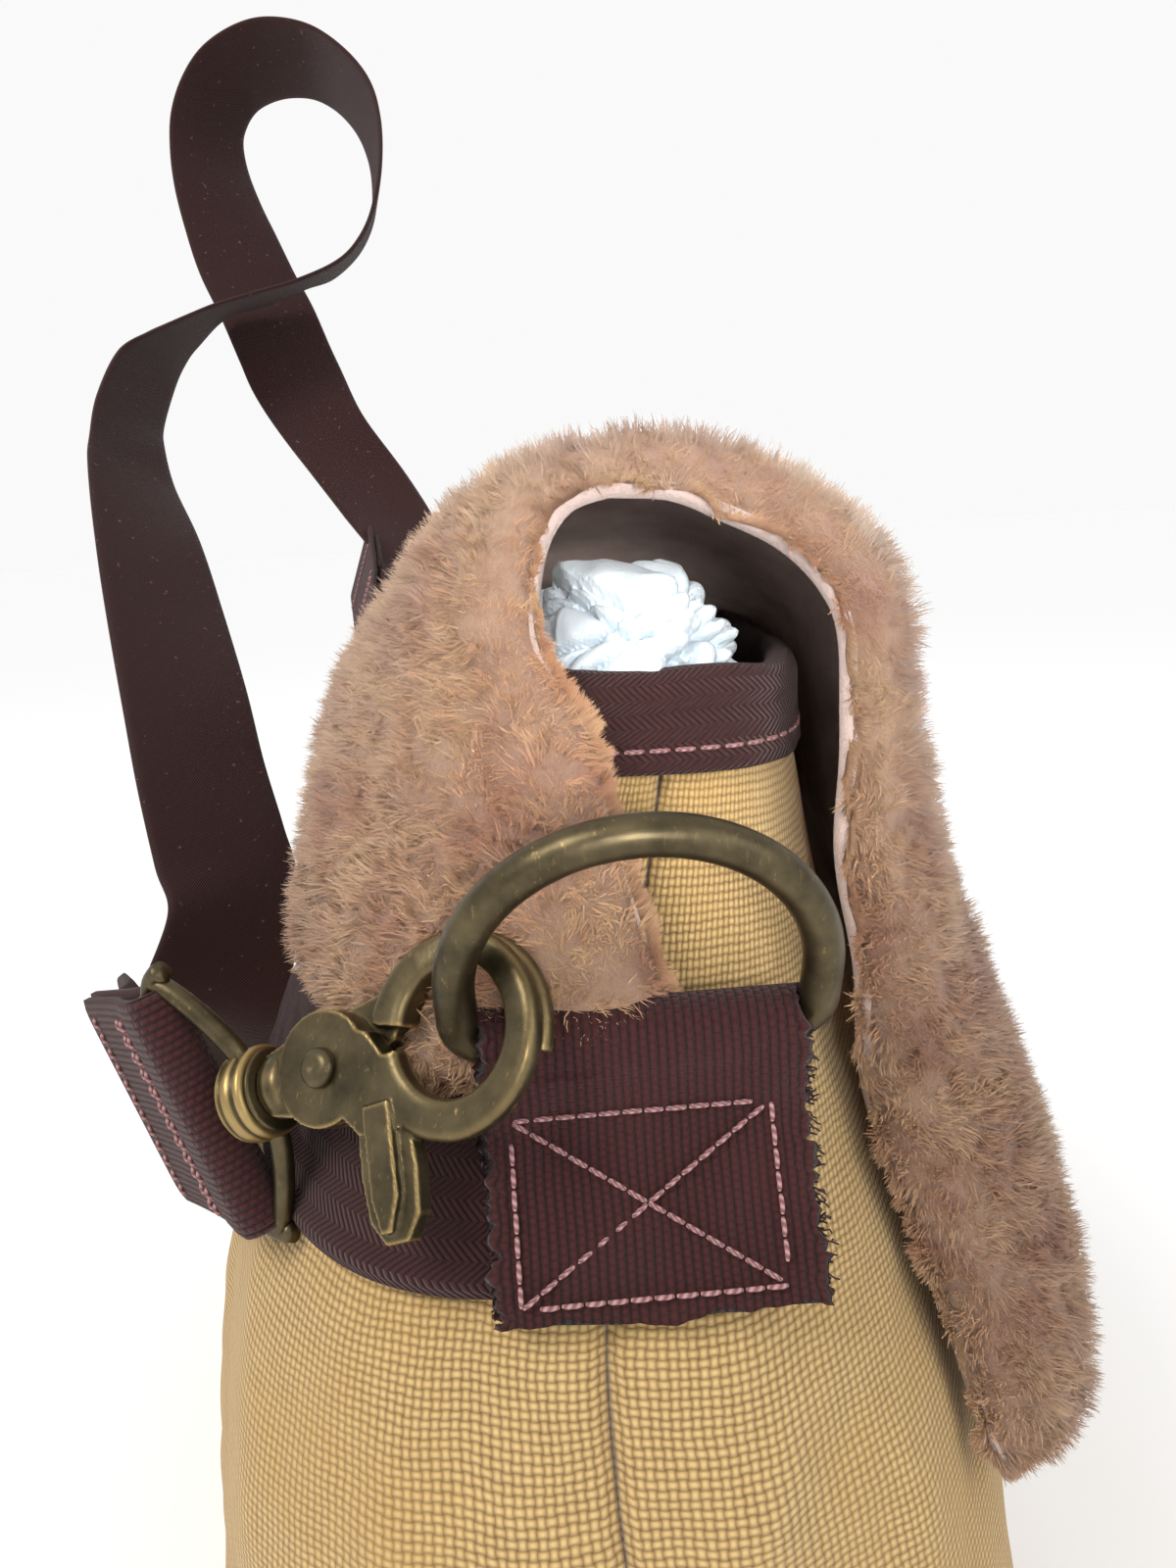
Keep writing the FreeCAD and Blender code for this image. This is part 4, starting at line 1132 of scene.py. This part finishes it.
def locks(name, count, seed):
    """Curly strands standing in the pile, leaning together in small clumps."""
    r = np.random.default_rng(seed)
    cell = np.linalg.norm(np.cross(hide[1:, :-1] - hide[:-1, :-1], hide[:-1, 1:] - hide[:-1, :-1]), axis=2)
    cell = cell * (1 + 2.2 * np.exp(-(np.abs(hide[:-1, :-1, 0]) - 185) ** 2 / 2800))
    weight = cell.ravel() / cell.sum()
    pick = r.choice(len(weight), count, p=weight)
    i, j = np.divmod(pick, COLUMNS - 1)
    a, b = r.random(count), r.random(count)
    edge_count = int(count * 0.16)
    side = r.integers(0, 4, edge_count)
    i[:edge_count] = np.where(side == 0, 0, np.where(side == 1, rows_n - 2, i[:edge_count]))
    a[:edge_count] = np.where(side == 0, 0.02, np.where(side == 1, 0.98, a[:edge_count]))
    j[:edge_count] = np.where(side == 2, 0, np.where(side == 3, COLUMNS - 2, j[:edge_count]))
    b[:edge_count] = np.where(side == 2, 0.02, np.where(side == 3, 0.98, b[:edge_count]))

    def sample(g):
        return (
            g[i, j] * ((1 - a) * (1 - b))[:, None] + g[i + 1, j] * (a * (1 - b))[:, None]
            + g[i, j + 1] * ((1 - a) * b)[:, None] + g[i + 1, j + 1] * (a * b)[:, None]
        )

    root, out = sample(hide), sample(hide_out)
    s_at = run_s[i] + (run_s[i + 1] - run_s[i]) * a
    t_at = run_t[j] + (run_t[j + 1] - run_t[j]) * b
    along, cross = np.gradient(hide, axis=0), np.gradient(hide, axis=1)
    along /= np.linalg.norm(along, axis=2)[..., None]
    cross /= np.linalg.norm(cross, axis=2)[..., None]
    along, cross = sample(along), sample(cross)

    def splay(at, end):
        return np.where(at < 9, -(9 - at) / 9, np.where(at > end - 9, (at - end + 9) / 9, 0))

    splay_s, splay_t = splay(s_at, run_s[-1]), splay(t_at, run_t[-1])
    edge = np.maximum(np.abs(splay_s), np.abs(splay_t))
    lean = np.column_stack([wobble(root, 9, 61 + k) for k in range(3)]) * 0.42
    lean += np.column_stack([wobble(root, 3.5, 71 + k, 1) for k in range(3)]) * 0.3
    lean += r.normal(size=(count, 3)) * 0.2
    way = out * 0.8 + lean + along * splay_s[:, None] * 0.8 + cross * splay_t[:, None] * 0.8
    way /= np.linalg.norm(way, axis=1)[:, None]
    dense = pile_height(np.minimum(np.minimum(s_at, run_s[-1] - s_at), np.minimum(t_at, run_t[-1] - t_at)))
    low = root + out * np.maximum(dense - 1.6 + pile_lumps(root), 1.2)[:, None]
    length = r.uniform(0.75, 1.15, count) * (5.4 - 2.0 * edge)
    curl = np.cross(way, r.normal(size=(count, 3)))
    curl /= np.linalg.norm(curl, axis=1)[:, None]
    flat_side = np.cross(way, curl)
    steps = np.array([0.0, 0.4, 0.75, 1.0])
    bend = np.array([0.0, 0.5, 0.85, 0.6])
    widths = np.array([0.12, 0.13, 0.09, 0.02]) * 1.0
    spine = (
        low[:, None]
        + way[:, None] * (steps[None, :, None] * length[:, None, None])
        + curl[:, None] * (bend[None, :, None] * r.uniform(-1.1, 1.1, count)[:, None, None])
    )
    half = flat_side[:, None] * (widths[None, :, None] * r.uniform(0.7, 1.3, count)[:, None, None])
    verts = np.stack([spine - half, spine + half], axis=2).reshape(-1, 3)
    base = np.arange(count)[:, None] * 8
    quad = np.array([[0, 1, 3, 2], [2, 3, 5, 4], [4, 5, 7, 6]])
    faces = (base[:, :, None] + quad[None]).reshape(-1, 4)
    mesh = bpy.data.meshes.new(name)
    mesh.vertices.add(len(verts))
    mesh.vertices.foreach_set("co", (verts * MM).ravel())
    mesh.loops.add(faces.size)
    mesh.loops.foreach_set("vertex_index", faces.ravel().astype(np.int32))
    mesh.polygons.add(len(faces))
    mesh.polygons.foreach_set("loop_start", np.arange(0, faces.size, 4, dtype=np.int32))
    mesh.polygons.foreach_set("use_smooth", [True] * len(faces))
    mesh.update(calc_edges=True)
    # along runs from root to tip; the wool shader uses it to darken each lock towards its root as painted
    # shade.
    shares = np.repeat(np.tile(0.3 + 0.7 * steps, count), 2)
    for label, values in (("along", shares), ("tint", np.repeat(r.random(count), 8))):
        layer = mesh.attributes.new(label, "FLOAT", "POINT")
        layer.data.foreach_set("value", values.astype(np.float32))
    soft = np.repeat(out * 0.8 + way * 0.7, 8, axis=0)
    soft += np.repeat(r.normal(size=(count, 3)) * 0.12, 8, axis=0)
    soft /= np.linalg.norm(soft, axis=1)[:, None]
    mesh.normals_split_custom_set_from_vertices(soft.tolist())
    mesh.materials.append(WOOL)
    obj = bpy.data.objects.new(name, mesh)
    bpy.context.scene.collection.objects.link(obj)
    return obj


wool = [locks(f"flap_wool_{k}", 66000, 81 + k) for k in range(4)]
for obj in [skin, fleece] + wool:
    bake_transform(obj)
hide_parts("flap_back", "flap_front")


# ------------------------------------------------------------ tissue paper
# A crumpled ball of white tissue keeps the near end of the mouth open.

ball = bmesh.new()
bmesh.ops.create_icosphere(ball, subdivisions=6, radius=1)
facets = rng.normal(size=(110, 3))
facets /= np.linalg.norm(facets, axis=1)[:, None]
offsets = rng.uniform(0.82, 1.06, 110)
folds = rng.normal(size=(16, 3))
folds /= np.linalg.norm(folds, axis=1)[:, None]
for vert in ball.verts:
    at = np.array(vert.co)
    reach = min(o / max(f @ at, 1e-3) for f, o in zip(facets, offsets))
    for k, f in enumerate(folds):
        reach -= 0.13 * math.exp(-abs(f @ at - 0.25 * math.sin(k * 2.1)) / 0.04)
    vert.co = Vector(at * (reach + 0.03 * noise.noise(Vector(at * 4))))
paper = bpy.data.meshes.new("tissue_wad")
ball.to_mesh(paper)
ball.free()
paper.materials.append(TISSUE)
tissue = bpy.data.objects.new("tissue_wad", paper)
bpy.context.scene.collection.objects.link(tissue)
paper.transform(Matrix.Translation((-0.137, 0.0, 0.2995)) @ Matrix.Diagonal((0.031, 0.0245, 0.0245, 1)))
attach(tissue, "bag")
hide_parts("tissue_wad")


# ------------------------------------------------------------------- stage
# A very large pale floor under an even white sky, with one broad soft light above.

floor_shade = Shade("white floor")
floor_shade.set(Base_Color=(0.9, 0.9, 0.9, 1), Roughness=0.9, Specular_IOR_Level=0.05,
                Emission_Color=(1, 1, 1, 1), Emission_Strength=0.1)
FAR = 60000
floor_corners = [(-FAR, -FAR, -0.2), (FAR, -FAR, -0.2), (FAR, FAR, -0.2), (-FAR, FAR, -0.2)]
floor = piece("floor", floor_corners, [(0, 1, 2, 3)], floor_shade.material)

world = bpy.data.worlds.new("studio")
bpy.context.scene.world = world
world.use_nodes = True
world.node_tree.nodes["Background"].inputs[0].default_value = (1.0, 1.0, 1.0, 1)
world.node_tree.nodes["Background"].inputs[1].default_value = 0.95


def soft_light(name, place, aim, size, power, colour=(1, 1, 1), spread=180):
    light = bpy.data.lights.new(name, "AREA")
    light.spread = math.radians(spread)
    light.shape, light.size, light.energy, light.color = "DISK", size, power, colour
    obj = bpy.data.objects.new(name, light)
    turn = (Vector(aim) - Vector(place)).to_track_quat("-Z", "Y")
    obj.matrix_world = Matrix.Translation(place) @ turn.to_matrix().to_4x4()
    bpy.context.scene.collection.objects.link(obj)


soft_light("key", (-0.9, 0.9, 1.5), (0, 0, 0.25), 0.7, 16, (1, 0.97, 0.93))
soft_light("fill", (-1.1, -1.0, 0.8), (0, 0, 0.2), 1.0, 5, (0.94, 0.97, 1))
soft_light("mouth", (-0.6, -0.02, 0.37), (-0.1, 0, 0.315), 0.1, 0.05, (1, 0.98, 0.96), 24)

bpy.context.scene.view_settings.view_transform = "Standard"
